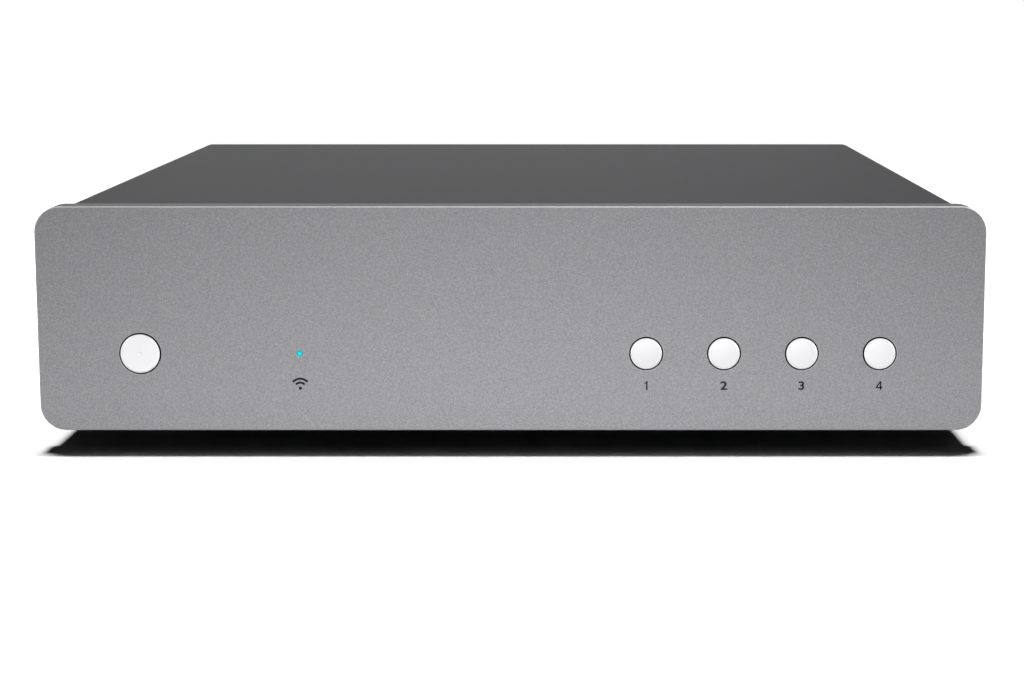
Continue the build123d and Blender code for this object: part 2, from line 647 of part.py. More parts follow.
with BuildPart() as transformer_core:
    with BuildSketch(across(CORE_CENTRE[1] - CORE_SIZE[1] / 2)):
        with Locations((CORE_CENTRE[0], BOARD_TOP_Z + CORE_SIZE[2] / 2)):
            Rectangle(CORE_SIZE[0], CORE_SIZE[2])
            with GridLocations(CENTRE_LEG + WINDOW[0], 0, 2, 1):
                Rectangle(WINDOW[0], WINDOW[1], mode=Mode.SUBTRACT)
    extrude(amount=-CORE_SIZE[1])
transformer_core.part.label = "transformer_core"
export_step(transformer_core.part, "parts/transformer_core.step")

with BuildPart() as transformer_winding:
    with BuildSketch(level(BOARD_TOP_Z + CORE_LEG)) as turns:
        with Locations(CORE_CENTRE):
            Rectangle(CENTRE_LEG + 2 * WINDOW[0] - 0.2, WINDING_DEPTH)
        chamfer(turns.vertices(), WINDING_EDGE)
        with Locations(CORE_CENTRE):
            Rectangle(CENTRE_LEG + 0.2, CORE_SIZE[1] + 0.2, mode=Mode.SUBTRACT)
    extrude(amount=WINDOW[1] - 0.1)
transformer_winding.part.label = "transformer_winding"
export_step(transformer_winding.part, "parts/transformer_winding.step")

with BuildPart() as bulk_capacitor:
    with BuildSketch(level(BOARD_TOP_Z)):
        with Locations((90.0, 22.0)):
            RegularPolygon(8.0, ROUND_SIDES)
    extrude(amount=28.0)
bulk_capacitor.part.label = "bulk_capacitor"
export_step(bulk_capacitor.part, "parts/bulk_capacitor.step")

SINK_CENTRE = (60.0, 22.0)
SINK_LENGTH, SINK_HEIGHT = 26.0, 24.0
SINK_BASE, SINK_FIN, SINK_FIN_THICK, SINK_FINS = 2.5, 7.0, 1.2, 6

with BuildPart() as power_heatsink:
    with BuildSketch(level(BOARD_TOP_Z)):
        with Locations(SINK_CENTRE):
            Rectangle(SINK_BASE, SINK_LENGTH)
        with Locations((SINK_CENTRE[0] + SINK_BASE / 2 + SINK_FIN / 2, SINK_CENTRE[1])):
            with GridLocations(0, (SINK_LENGTH - SINK_FIN_THICK) / (SINK_FINS - 1), 1, SINK_FINS):
                Rectangle(SINK_FIN, SINK_FIN_THICK)
    extrude(amount=SINK_HEIGHT)
power_heatsink.part.label = "power_heatsink"
export_step(power_heatsink.part, "parts/power_heatsink.step")

FUSE_CENTRE = (95.0, 46.0)
FUSE_LENGTH, FUSE_RADIUS, FUSE_Z = 20.0, 2.6, BOARD_TOP_Z + 4.0

with BuildPart() as mains_fuse:
    with BuildSketch(across(FUSE_CENTRE[1] - FUSE_LENGTH / 2)):
        with Locations((FUSE_CENTRE[0], FUSE_Z)):
            RegularPolygon(FUSE_RADIUS, ROUND_SIDES)
    extrude(amount=-FUSE_LENGTH)
    with BuildSketch(level(BOARD_TOP_Z)):
        with Locations(FUSE_CENTRE):
            with GridLocations(0, FUSE_LENGTH - 5.0, 1, 2):
                Rectangle(4.0, 3.0)
    extrude(amount=FUSE_Z - BOARD_TOP_Z)
mains_fuse.part.label = "mains_fuse"
export_step(mains_fuse.part, "parts/mains_fuse.step")

CHOKE_CENTRE = (74.0, 50.0)
CHOKE_CORE, CHOKE_COIL = (18.0, 20.0, 5.0), (6.5, 12.0, 11.0)

with BuildPart() as line_filter:
    with BuildSketch(level(BOARD_TOP_Z)):
        with Locations(CHOKE_CENTRE):
            with GridLocations(CHOKE_CORE[0] - CHOKE_COIL[0], 0, 2, 1):
                Rectangle(CHOKE_COIL[0], CHOKE_COIL[1])
    extrude(amount=CHOKE_COIL[2])
    with BuildSketch(level(BOARD_TOP_Z + (CHOKE_COIL[2] - CHOKE_CORE[2]) / 2)):
        with Locations(CHOKE_CENTRE):
            Rectangle(CHOKE_CORE[0] - 1.5, CHOKE_CORE[1])
            Rectangle(CHOKE_CORE[0] - 2 * CHOKE_COIL[0], CHOKE_CORE[1] - 8.0, mode=Mode.SUBTRACT)
    extrude(amount=CHOKE_CORE[2])
line_filter.part.label = "line_filter"
export_step(line_filter.part, "parts/line_filter.step")

# Ribbon between the control board's header and the main board's
RIBBON_WIDTH, RIBBON_THICK = 14.0, 0.8

with BuildPart() as ribbon_cable:
    with BuildSketch(Plane.YZ.offset(HEADER_X - RIBBON_WIDTH / 2)):
        with BuildLine():
            Polyline(
                (CONTROL_BOARD_BACK_Y + HEADER_SIZE[2], CONTROL_Z),
                (RIBBON_HEADER_Y - 18.0, CONTROL_Z),
                (RIBBON_HEADER_Y - 10.0, CONTROL_Z + 7.0),
                (RIBBON_HEADER_Y - 2.0, CONTROL_Z + 7.0),
                (RIBBON_HEADER_Y, CONTROL_Z + 5.0),
                (RIBBON_HEADER_Y, BOARD_TOP_Z + HEADER_SIZE[2]),
            )
        trace(line_width=RIBBON_THICK)
    extrude(amount=RIBBON_WIDTH)
ribbon_cable.part.label = "ribbon_cable"
export_step(ribbon_cable.part, "parts/ribbon_cable.step")

# Supply leads: one flat cable looped between the two boards
LEAD_THICK, LEAD_WIDTH, LEAD_TURN, LEAD_RISE = 1.2, 8.4, 4.0, 9.0

with BuildPart() as power_leads:
    start_z = BOARD_TOP_Z + LEAD_CONNECTOR[2]
    with BuildSketch(across(LEAD_Y - LEAD_WIDTH / 2)):
        with BuildLine():
            Polyline(
                (POWER_LEAD_X, start_z), (POWER_LEAD_X, start_z + LEAD_RISE - LEAD_TURN),
                (POWER_LEAD_X - LEAD_TURN, start_z + LEAD_RISE),
                (MAIN_LEAD_X + LEAD_TURN, start_z + LEAD_RISE),
                (MAIN_LEAD_X, start_z + LEAD_RISE - LEAD_TURN), (MAIN_LEAD_X, start_z),
            )
        trace(line_width=LEAD_THICK)
    extrude(amount=-LEAD_WIDTH)
power_leads.part.label = "power_leads"
export_step(power_leads.part, "parts/power_leads.step")

# Aerial sockets: threaded barrels that pass through the panel and their nut from a hexagon
# inside, with the thread that the aerial takes beyond the nut
AERIAL_BORE = (2.25, 3.0)
AERIAL_HEX_THICK = 2.0
AERIAL_NUT_THICK = 2.2
AERIAL_NUT_CLEAR = 0.12
AERIAL_RUNOUT = 0.2  # between the nut and the thread's full round
AERIAL_TIP_Y = DEPTH / 2
AERIAL_BACK_Y = REAR_INNER_Y - AERIAL_HEX_THICK
AERIAL_THREAD_Y = REAR_Y + AERIAL_NUT_THICK + AERIAL_RUNOUT
HEX_CORNER = 4.6

with BuildPart() as aerial_sockets:
    with BuildSketch(across(AERIAL_BACK_Y)):
        with Locations(*[(x, AERIAL_Z) for x in AERIAL_X]):
            RegularPolygon(HEX_CORNER, 6)
    extrude(amount=-AERIAL_HEX_THICK)
    with BuildSketch(across(REAR_INNER_Y)):
        with Locations(*[(x, AERIAL_Z) for x in AERIAL_X]):
            RegularPolygon(AERIAL_THREAD_RADIUS, ROUND_SIDES)
    extrude(amount=REAR_INNER_Y - AERIAL_THREAD_Y)
    with BuildSketch(across(AERIAL_THREAD_Y)):
        with Locations(*[(x, AERIAL_Z) for x in AERIAL_X]):
            Circle(AERIAL_THREAD_RADIUS)
    extrude(amount=AERIAL_THREAD_Y - AERIAL_TIP_Y)
    with BuildSketch(across(AERIAL_TIP_Y)):
        with Locations(*[(x, AERIAL_Z) for x in AERIAL_X]):
            RegularPolygon(AERIAL_BORE[0], ROUND_SIDES)
    extrude(amount=AERIAL_BORE[1], mode=Mode.SUBTRACT)
aerial_sockets.part.label = "aerial_sockets"
export_step(aerial_sockets.part, "parts/aerial_sockets.step")

with BuildPart() as aerial_nuts:
    with BuildSketch(across(REAR_Y)):
        with Locations(*[(x, AERIAL_Z) for x in AERIAL_X]):
            RegularPolygon(HEX_CORNER, 6)
            RegularPolygon(AERIAL_THREAD_RADIUS + AERIAL_NUT_CLEAR, ROUND_SIDES, mode=Mode.SUBTRACT)
    extrude(amount=-AERIAL_NUT_THICK)
aerial_nuts.part.label = "aerial_nuts"
export_step(aerial_nuts.part, "parts/aerial_nuts.step")

# Aerial leads: thin coaxial cable, drawn square, from each socket to the module
COAX_WIDTH = 1.6
COAX_TURN_Y = 62.0

with BuildPart() as aerial_leads:
    for x, plug_x in zip(AERIAL_X, AERIAL_PLUG_X):
        with BuildLine() as route:
            Polyline(
                (x, AERIAL_BACK_Y, AERIAL_Z), (x, COAX_TURN_Y, AERIAL_Z),
                (plug_x, COAX_TURN_Y, AERIAL_Z), (plug_x, AERIAL_PLUG_Y, AERIAL_Z),
                (plug_x, AERIAL_PLUG_Y, MODULE_TOP_Z + AERIAL_PLUG[1]),
            )
        with BuildSketch(Plane(origin=route.line @ 0, z_dir=route.line % 0)):
            Rectangle(COAX_WIDTH, COAX_WIDTH)
        sweep(path=route.line, transition=Transition.RIGHT)
aerial_leads.part.label = "aerial_leads"
export_step(aerial_leads.part, "parts/aerial_leads.step")

# Mains inlet: figure-of-eight socket with a rim outside the panel, its body on the board
MAINS_RIM = (24.0, 14.6, 1.5)
MAINS_DEPTH = 16.0
MAINS_CAVITY = (14.2, 9.0, 12.5)
MAINS_PIN_SPACING, MAINS_PIN_RADIUS, MAINS_PIN_LENGTH = 8.6, 1.2, 9.5
MAINS_LEG = (16.0, 8.0)
MAINS_FRONT_Y = REAR_Y + MAINS_RIM[2]
MAINS_BACK_Y = REAR_Y - MAINS_DEPTH
CAVITY_END_Y = MAINS_FRONT_Y - MAINS_CAVITY[2]

with BuildPart() as mains_inlet:
    with BuildSketch(across(REAR_Y)):
        with Locations((MAINS_X, MAINS_Z)):
            RectangleRounded(MAINS_RIM[0], MAINS_RIM[1], 2.0)
    extrude(amount=-MAINS_RIM[2])
    with BuildSketch(across(MAINS_BACK_Y)):
        with Locations((MAINS_X, MAINS_Z)):
            Rectangle(MAINS_BODY[0], MAINS_BODY[1])
    extrude(amount=-MAINS_DEPTH)
    with BuildSketch(level(BOARD_TOP_Z)):
        with Locations((MAINS_X, MAINS_BACK_Y + MAINS_LEG[1] / 2)):
            Rectangle(MAINS_LEG[0], MAINS_LEG[1])
    extrude(amount=MAINS_Z - MAINS_BODY[1] / 2 - BOARD_TOP_Z)
    with BuildSketch(across(MAINS_FRONT_Y)):
        with Locations((MAINS_X, MAINS_Z)):
            SlotOverall(MAINS_CAVITY[0], MAINS_CAVITY[1])
    extrude(amount=MAINS_CAVITY[2], mode=Mode.SUBTRACT)
mains_inlet.part.label = "mains_inlet"
export_step(mains_inlet.part, "parts/mains_inlet.step")

with BuildPart() as mains_pins:
    with BuildSketch(across(CAVITY_END_Y)):
        with Locations((MAINS_X, MAINS_Z)):
            with GridLocations(MAINS_PIN_SPACING, 0, 2, 1):
                RegularPolygon(MAINS_PIN_RADIUS, ROUND_SIDES)
    extrude(amount=-MAINS_PIN_LENGTH)
mains_pins.part.label = "mains_pins"
export_step(mains_pins.part, "parts/mains_pins.step")

# USB socket: folded shell on the main board and the tongue inside it
USB_WALL, USB_DEPTH = 0.35, 14.0
USB_FRONT_Y = REAR_Y + 0.7
USB_TONGUE = (11.1, 1.9, 9.0)
USB_BLOCK_DEPTH = 4.5

with BuildPart() as usb_shell:
    with BuildSketch(across(USB_FRONT_Y)):
        with Locations((USB_X, USB_Z)):
            Rectangle(USB_SHELL[0], USB_SHELL[1])
            Rectangle(
                USB_SHELL[0] - 2 * USB_WALL, USB_SHELL[1] - 2 * USB_WALL, mode=Mode.SUBTRACT
            )
    extrude(amount=USB_DEPTH)
usb_shell.part.label = "usb_shell"
export_step(usb_shell.part, "parts/usb_shell.step")

with BuildPart() as usb_tongue:
    with BuildSketch(across(USB_FRONT_Y - USB_DEPTH)):
        with Locations((USB_X, USB_Z)):
            Rectangle(USB_SHELL[0] - 2 * USB_WALL, USB_SHELL[1] - 2 * USB_WALL)
    extrude(amount=-USB_BLOCK_DEPTH)
    with BuildSketch(across(USB_FRONT_Y - USB_DEPTH + USB_BLOCK_DEPTH)):
        with Locations((USB_X, USB_Z + 1.05)):
            Rectangle(USB_TONGUE[0], USB_TONGUE[1])
    extrude(amount=-USB_TONGUE[2])
usb_tongue.part.label = "usb_tongue"
export_step(usb_tongue.part, "parts/usb_tongue.step")

# Ethernet socket: shielded housing with the keyed mouth of an eight-way plug
ETHERNET_DEPTH = 21.3
ETHERNET_FRONT_Y = REAR_Y + 0.5
ETHERNET_CAVITY = (12.0, 7.0, 13.0)
ETHERNET_CAVITY_Z = BOARD_TOP_Z + 7.6
ETHERNET_LATCH = (6.2, 2.2)
ETHERNET_EDGE = 0.3
CONTACT_COUNT, CONTACT_PITCH, CONTACT_WIDTH, CONTACT_THICK = 8, 1.27, 0.5, 0.35

with BuildPart() as ethernet_socket:
    with BuildSketch(across(ETHERNET_FRONT_Y)):
        with Locations((ETHERNET_X, ETHERNET_Z)):
            Rectangle(ETHERNET_BODY[0], ETHERNET_BODY[1])
    extrude(amount=ETHERNET_DEPTH)
    chamfer(ethernet_socket.faces().sort_by(Axis.Y)[-1].edges(), ETHERNET_EDGE)
    with BuildSketch(across(ETHERNET_FRONT_Y)):
        with Locations((ETHERNET_X, ETHERNET_CAVITY_Z)):
            Rectangle(ETHERNET_CAVITY[0], ETHERNET_CAVITY[1])
        with Locations((ETHERNET_X, ETHERNET_CAVITY_Z - ETHERNET_CAVITY[1] / 2)):
            Rectangle(*ETHERNET_LATCH, align=(Align.CENTER, Align.MAX))
    extrude(amount=ETHERNET_CAVITY[2], mode=Mode.SUBTRACT)
ethernet_socket.part.label = "ethernet_socket"
export_step(ethernet_socket.part, "parts/ethernet_socket.step")

with BuildPart() as ethernet_contacts:
    roof = ETHERNET_CAVITY_Z + ETHERNET_CAVITY[1] / 2
    back = ETHERNET_FRONT_Y - ETHERNET_CAVITY[2]
    for i in range(CONTACT_COUNT):
        x = ETHERNET_X + (i - (CONTACT_COUNT - 1) / 2) * CONTACT_PITCH - CONTACT_WIDTH / 2
        with BuildSketch(Plane.YZ.offset(x)):
            with BuildLine():
                Polyline(
                    (back, roof - 2.2), (back + 0.8, roof - 2.2),
                    (back + 9.5, roof - 0.6), (back + 10.5, roof - 0.6),
                )
            trace(line_width=CONTACT_THICK)
        extrude(amount=CONTACT_WIDTH)
ethernet_contacts.part.label = "ethernet_contacts"
export_step(ethernet_contacts.part, "parts/ethernet_contacts.step")

# Optical output: a square mouth closed by a flap, which a plug pushes in and up
OPTICAL_DEPTH = 14.5
OPTICAL_FRONT_Y = REAR_Y + 0.3
OPTICAL_CAVITY = (9.2, 8.4, 10.0)
OPTICAL_CAVITY_Z = OPTICAL_Z + 0.05
OPTICAL_KEY = 1.6  # the two lower corners are cut off, which keys the plug
FLAP_THICK = 0.8
FLAP_SIDE_GAP = 0.3
FLAP_Y = OPTICAL_FRONT_Y - 1.4
FLAP_PIVOT_Z = OPTICAL_CAVITY_Z + OPTICAL_CAVITY[1] / 2 - 0.9
FLAP_PIN_RADIUS, FLAP_HOLE_RADIUS, FLAP_PIN_LENGTH = 0.5, 0.6, 0.8
FLAP_HOLE_SIDES = 8
LIGHT_BORE = (1.3, 3.0)

with BuildPart() as optical_socket:
    with BuildSketch(across(OPTICAL_FRONT_Y)):
        with Locations((OPTICAL_X, OPTICAL_Z)):
            Rectangle(OPTICAL_BODY[0], OPTICAL_BODY[1])
    extrude(amount=OPTICAL_DEPTH)
    with BuildSketch(across(OPTICAL_FRONT_Y)) as mouth:
        with Locations((OPTICAL_X, OPTICAL_CAVITY_Z)):
            Rectangle(OPTICAL_CAVITY[0], OPTICAL_CAVITY[1])
        chamfer(mouth.vertices().group_by(Axis.Y)[0], OPTICAL_KEY)
    extrude(amount=OPTICAL_CAVITY[2], mode=Mode.SUBTRACT)
    with BuildSketch(across(OPTICAL_FRONT_Y - OPTICAL_CAVITY[2])):
        with Locations((OPTICAL_X, OPTICAL_CAVITY_Z)):
            RegularPolygon(LIGHT_BORE[0], 6)
    extrude(amount=LIGHT_BORE[1], mode=Mode.SUBTRACT)
    with BuildSketch(Plane.YZ.offset(OPTICAL_X)):
        with Locations((FLAP_Y, FLAP_PIVOT_Z)):
            RegularPolygon(FLAP_HOLE_RADIUS, FLAP_HOLE_SIDES)
    extrude(
        amount=OPTICAL_CAVITY[0] / 2 - FLAP_SIDE_GAP + FLAP_PIN_LENGTH + 0.2,
        both=True,
        mode=Mode.SUBTRACT,
    )
optical_socket.part.label = "optical_socket"
export_step(optical_socket.part, "parts/optical_socket.step")

with BuildPart() as optical_shutter:
    flap_half = OPTICAL_CAVITY[0] / 2 - FLAP_SIDE_GAP
    flap_low = OPTICAL_CAVITY_Z - OPTICAL_CAVITY[1] / 2 + 0.3
    with BuildSketch(across(FLAP_Y - FLAP_THICK / 2)) as flap:
        with Locations((OPTICAL_X, (flap_low + FLAP_PIVOT_Z) / 2)):
            Rectangle(2 * flap_half, FLAP_PIVOT_Z - flap_low)
        chamfer(flap.vertices().group_by(Axis.Y)[0], OPTICAL_KEY)
    extrude(amount=-FLAP_THICK)
    with BuildSketch(Plane.YZ.offset(OPTICAL_X)):
        with Locations((FLAP_Y, FLAP_PIVOT_Z)):
            Circle(FLAP_PIN_RADIUS)
    extrude(amount=flap_half + FLAP_PIN_LENGTH, both=True)
optical_shutter.part.label = "optical_shutter"
export_step(optical_shutter.part, "parts/optical_shutter.step")

# Phono sockets: moulded blocks on the main board, whose cores pass through the panel and hold
# the metal sleeves outside it
PHONO_BLOCK_Y = REAR_INNER_Y - 11.5
PHONO_BLOCK_HEIGHT = 16.0
PHONO_BLOCK_EDGE = 3.0
PHONO_SLEEVE_RADIUS, PHONO_SLEEVE_INNER = 4.15, 3.4
PHONO_TIP_Y = REAR_Y + 8.5
PHONO_CORE_RECESS = 1.0
PHONO_BORE = (1.65, 8.0)
PHONO_TAP_DEPTH = 8.0

with BuildPart() as phono_housings:
    with BuildSketch(level(BOARD_TOP_Z)):
        for x, width in ((PHONO_X[0], 14.0), (PHONO_SCREW_X, 31.0)):
            with Locations((x, (PHONO_BLOCK_Y + REAR_INNER_Y) / 2)):
                Rectangle(width, REAR_INNER_Y - PHONO_BLOCK_Y)
    extrude(amount=PHONO_BLOCK_HEIGHT)
    for block_top in phono_housings.faces().group_by(Axis.Z)[-1]:
        chamfer(block_top.edges().group_by(Axis.Y)[0], PHONO_BLOCK_EDGE)
    with BuildSketch(across(REAR_INNER_Y)):
        with Locations((PHONO_SCREW_X, PHONO_Z)):
            RegularPolygon(M3_TAPPED, SCREW_SIDES)
    extrude(amount=PHONO_TAP_DEPTH, mode=Mode.SUBTRACT)
phono_housings.part.label = "phono_housings"
export_step(phono_housings.part, "parts/phono_housings.step")

with BuildPart() as phono_sleeves:
    with BuildSketch(across(REAR_Y)):
        with Locations(*[(x, PHONO_Z) for x in PHONO_X]):
            Circle(PHONO_SLEEVE_RADIUS)
            RegularPolygon(PHONO_SLEEVE_INNER, ROUND_SIDES, mode=Mode.SUBTRACT)
    extrude(amount=REAR_Y - PHONO_TIP_Y)
phono_sleeves.part.label = "phono_sleeves"
export_step(phono_sleeves.part, "parts/phono_sleeves.step")

with BuildPart() as phono_insulators:
    core_end = PHONO_TIP_Y - PHONO_CORE_RECESS
    with BuildSketch(across(REAR_INNER_Y)):
        with Locations(*[(x, PHONO_Z) for x in PHONO_X]):
            RegularPolygon(PHONO_CORE_RADIUS, ROUND_SIDES)
    extrude(amount=REAR_INNER_Y - core_end)
    with BuildSketch(across(core_end)):
        with Locations(*[(x, PHONO_Z) for x in PHONO_X]):
            Circle(PHONO_BORE[0])
    extrude(amount=PHONO_BORE[1], mode=Mode.SUBTRACT)
phono_insulators.part.label = "phono_insulators"
export_step(phono_insulators.part, "parts/phono_insulators.step")

# Screws of the case: up through the cover's lips and the tray's floor, forward into the front
# panel, and in from behind between the line outputs
TO_FRONT = (90, 0, 0)
TO_FLOOR = (180, 0, 0)

with BuildPart() as case_screws:
    with Locations(*[(x, y, COVER_LOW_Z) for x, y in COVER_SCREWS]):
        add(screw(M3_SHANK, 2 * SHEET + NUT_HEIGHT))
    with Locations(*[(x, y, TRAY_LOW_Z) for x, y in REAR_FLANGE_SCREWS]):
        add(screw(M3_SHANK, 4.0))
    with Locations(*[Location((x, PANEL_BACK_Y + SHEET, z), TO_FRONT) for x, z in PANEL_SCREWS]):
        add(screw(M3_SHANK, SHEET + 4.0))
    with Locations(*[Location((x, GUIDE_BACK_Y, CONTROL_Z), TO_FRONT) for x in GUIDE_SCREW_X]):
        add(screw(M3_SHANK, SHEET + GUIDE_THICK + 4.0))
    with Locations(Location((PHONO_SCREW_X, REAR_Y, PHONO_Z), TO_FRONT)):
        add(screw(M3_SHANK, SHEET + 7.0))
case_screws.part.label = "case_screws"
export_step(case_screws.part, "parts/case_screws.step")

with BuildPart() as board_screws:
    with Locations(*[Location((x, y, BOARD_TOP_Z), TO_FLOOR) for x, y in MAIN_POSTS + POWER_POSTS]):
        add(screw(M25_SHANK, BOARD_THICK + 5.0))
    with Locations(
        *[Location((x, CONTROL_BOARD_BACK_Y, CONTROL_Z), TO_FRONT) for x in BOARD_POST_X]
    ):
        add(screw(M25_SHANK, BOARD_THICK + 5.0))
board_screws.part.label = "board_screws"
export_step(board_screws.part, "parts/board_screws.step")
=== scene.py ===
"""Dresses a half-width network music streamer for its studio picture.

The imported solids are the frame: every piece here is placed from them, in metres, with +X to
the right, +Y from the front to the back and +Z up.
"""
from __future__ import annotations

import json
import logging
import math
from dataclasses import dataclass
from enum import Enum
from typing import Callable, Iterable, Sequence

import bmesh
import bpy
from bmesh.types import BMEdge, BMFace, BMVert
from bpy.types import Collection, Light, Material, Node, NodeSocket, Object, World
from mathutils import Matrix, Vector

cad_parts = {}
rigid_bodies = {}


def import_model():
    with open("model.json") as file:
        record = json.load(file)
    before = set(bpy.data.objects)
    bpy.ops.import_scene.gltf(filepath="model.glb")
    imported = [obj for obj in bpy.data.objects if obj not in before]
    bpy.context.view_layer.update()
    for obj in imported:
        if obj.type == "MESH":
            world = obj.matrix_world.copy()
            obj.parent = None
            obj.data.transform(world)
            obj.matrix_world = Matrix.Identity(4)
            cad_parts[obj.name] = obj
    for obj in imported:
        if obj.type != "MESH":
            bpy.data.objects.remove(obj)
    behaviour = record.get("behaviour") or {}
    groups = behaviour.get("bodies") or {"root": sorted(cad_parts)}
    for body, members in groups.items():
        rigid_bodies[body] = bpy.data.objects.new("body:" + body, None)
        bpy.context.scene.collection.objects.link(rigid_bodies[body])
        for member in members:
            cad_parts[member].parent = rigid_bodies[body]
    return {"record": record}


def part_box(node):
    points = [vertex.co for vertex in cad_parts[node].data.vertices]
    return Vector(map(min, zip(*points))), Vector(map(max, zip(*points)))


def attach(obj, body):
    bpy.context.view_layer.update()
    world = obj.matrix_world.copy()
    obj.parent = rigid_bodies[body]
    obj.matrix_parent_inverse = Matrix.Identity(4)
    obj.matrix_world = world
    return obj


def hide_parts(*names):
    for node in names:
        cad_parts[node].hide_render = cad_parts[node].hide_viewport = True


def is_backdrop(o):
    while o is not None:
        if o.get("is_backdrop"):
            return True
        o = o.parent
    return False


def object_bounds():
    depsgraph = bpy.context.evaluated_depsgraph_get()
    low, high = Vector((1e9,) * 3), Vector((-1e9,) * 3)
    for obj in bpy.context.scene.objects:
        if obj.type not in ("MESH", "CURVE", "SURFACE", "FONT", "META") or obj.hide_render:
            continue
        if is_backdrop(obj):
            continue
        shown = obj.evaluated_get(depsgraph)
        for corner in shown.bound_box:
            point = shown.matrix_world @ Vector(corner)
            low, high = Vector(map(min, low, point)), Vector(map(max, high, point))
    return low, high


LOG = logging.getLogger("streamer")
MM = 0.001
FULL_TURN = 2 * math.pi
WAVE_PERIOD = math.pi / 10  # of the wave texture at scale 1
BRICK_ROW = 0.25  # height of the brick texture's rows at scale 1
TOUCHING = 0.0005 * MM  # points of a shape that are nearer than this become one
SHARP = math.radians(40)  # least turn at an edge that a bevel eases
LARGE_FACES_LEAD = 90  # weight of the faces' areas in the shading, where 50 is even
Pair = tuple[float, float]
Triple = tuple[float, float, float]
Place = Sequence[float]
Profile = Sequence[Pair]
Loop = list[BMEdge]
Inputs = dict[str | int, object]

# Places that several sub-assemblies share
CONTROL_Z = 22.8 * MM
POWER_X = -84.3 * MM
PRESET_X = tuple((30.8 + 17.7 * i) * MM for i in range(4))
LAMP_X = -48.0 * MM
PHONO_X = (-27.0 * MM, -48.0 * MM, -64.0 * MM)
PHONO_Z = 26.0 * MM
AERIAL_X = (60.0 * MM, -90.0 * MM)
AERIAL_Z = 38.0 * MM
FOOT_PLACES = tuple((x * MM, y * MM) for x in (-84.0, 84.0) for y in (-66.0, 67.0))
FOOT_WELL = 3.2 * MM
SHEET = 0.8 * MM

# The front spot's light falls off towards the sides, and each cap's tone makes up for it
PRESET_TONES = (0.702, 0.732, 0.753, 0.796)


class Axis(Enum):
    """Direction that a turned or drilled form runs along."""

    BACK = (0.0, 1.0, 0.0)
    FRONT = (0.0, -1.0, 0.0)
    UP = (0.0, 0.0, 1.0)

    @property
    def vector(self) -> Vector:
        """The direction as a vector."""
        return Vector(self.value)


class Body(Enum):
    """Rigid bodies of the frame that pieces ride on."""

    CASE = "body"
    POWER_KEY = "power_key"
    PRESET_KEY = "preset_key_"
    FLAP = "optical_flap"


class Graph:
    """Short way to write the nodes of a material or of the surroundings."""

    def __init__(self, owner: Material | World, shader: str = "Principled BSDF") -> None:
        """Starts from the owner's own shader.

        Args:
            owner: The material or the world.
            shader: Name of the node that it starts with.
        """
        owner.use_nodes = True
        self.tree = owner.node_tree
        self.shader = self.tree.nodes[shader]

    def feed(self, node: Node, inputs: Inputs) -> None:
        """Sets a node's inputs.

        Args:
            node: The node.
            inputs: For each input, its value or the output that is linked to it.
        """
        for key, value in inputs.items():
            if isinstance(value, NodeSocket):
                self.tree.links.new(value, node.inputs[key])
            else:
                node.inputs[key].default_value = value

    def surface(self, inputs: Inputs) -> None:
        """Sets inputs of the owner's own shader."""
        self.feed(self.shader, inputs)

    def add(self, kind: str, inputs: Inputs | None = None, **settings: object) -> Node:
        """Adds a node.

        Args:
            kind: The node's type after ShaderNode, such as Mix.
            inputs: Values or outputs for its inputs.
            **settings: Values of the node's own properties.

        Returns:
            The new node.
        """
        node = self.tree.nodes.new(f"ShaderNode{kind}")
        for key, value in settings.items():
            setattr(node, key, value)
        self.feed(node, inputs or {})
        return node

    def place(self, centre: Place = (0, 0, 0), scale: Place = (1, 1, 1)) -> NodeSocket:
        """Object coordinates round a centre.

        Args:
            centre: Where they start.
            scale: Factor along each axis.

        Returns:
            The coordinates, for a texture.
        """
        start = [-c * s for c, s in zip(centre, scale)]
        where = self.add("TexCoord").outputs["Object"]
        inputs = {"Vector": where, "Location": start, "Scale": scale}
        return self.add("Mapping", inputs).outputs["Vector"]

    def noise(self, where: NodeSocket, grain: float, detail: float = 2.0) -> NodeSocket:
        """Noise from 0 to 1 whose grains are that many metres across."""
        inputs = {"Vector": where, "Scale": 1 / grain, "Detail": detail}
        return self.add("TexNoise", inputs).outputs["Fac"]

    def blend(self, factor: NodeSocket, first: Triple, second: Triple) -> NodeSocket:
        """The first linear colour where the factor is 0 and the second where it is 1."""
        inputs = {"Factor": factor, "A": (*first, 1), "B": (*second, 1)}
        return self.add("Mix", inputs, data_type="RGBA").outputs["Result"]

    def spread(
        self, value: NodeSocket, low: float, high: float, start: float = 0, end: float = 1
    ) -> NodeSocket:
        """Maps the range from start to end onto low to high, held at its ends."""
        inputs = {"Value": value, "From Min": start, "From Max": end, "To Min": low, "To Max": high}
        return self.add("MapRange", inputs).outputs["Result"]


def shade(colour: Triple, factor: float) -> Triple:
    """A colour made lighter or darker by a factor."""
    return tuple(min(1.0, channel * factor) for channel in colour)


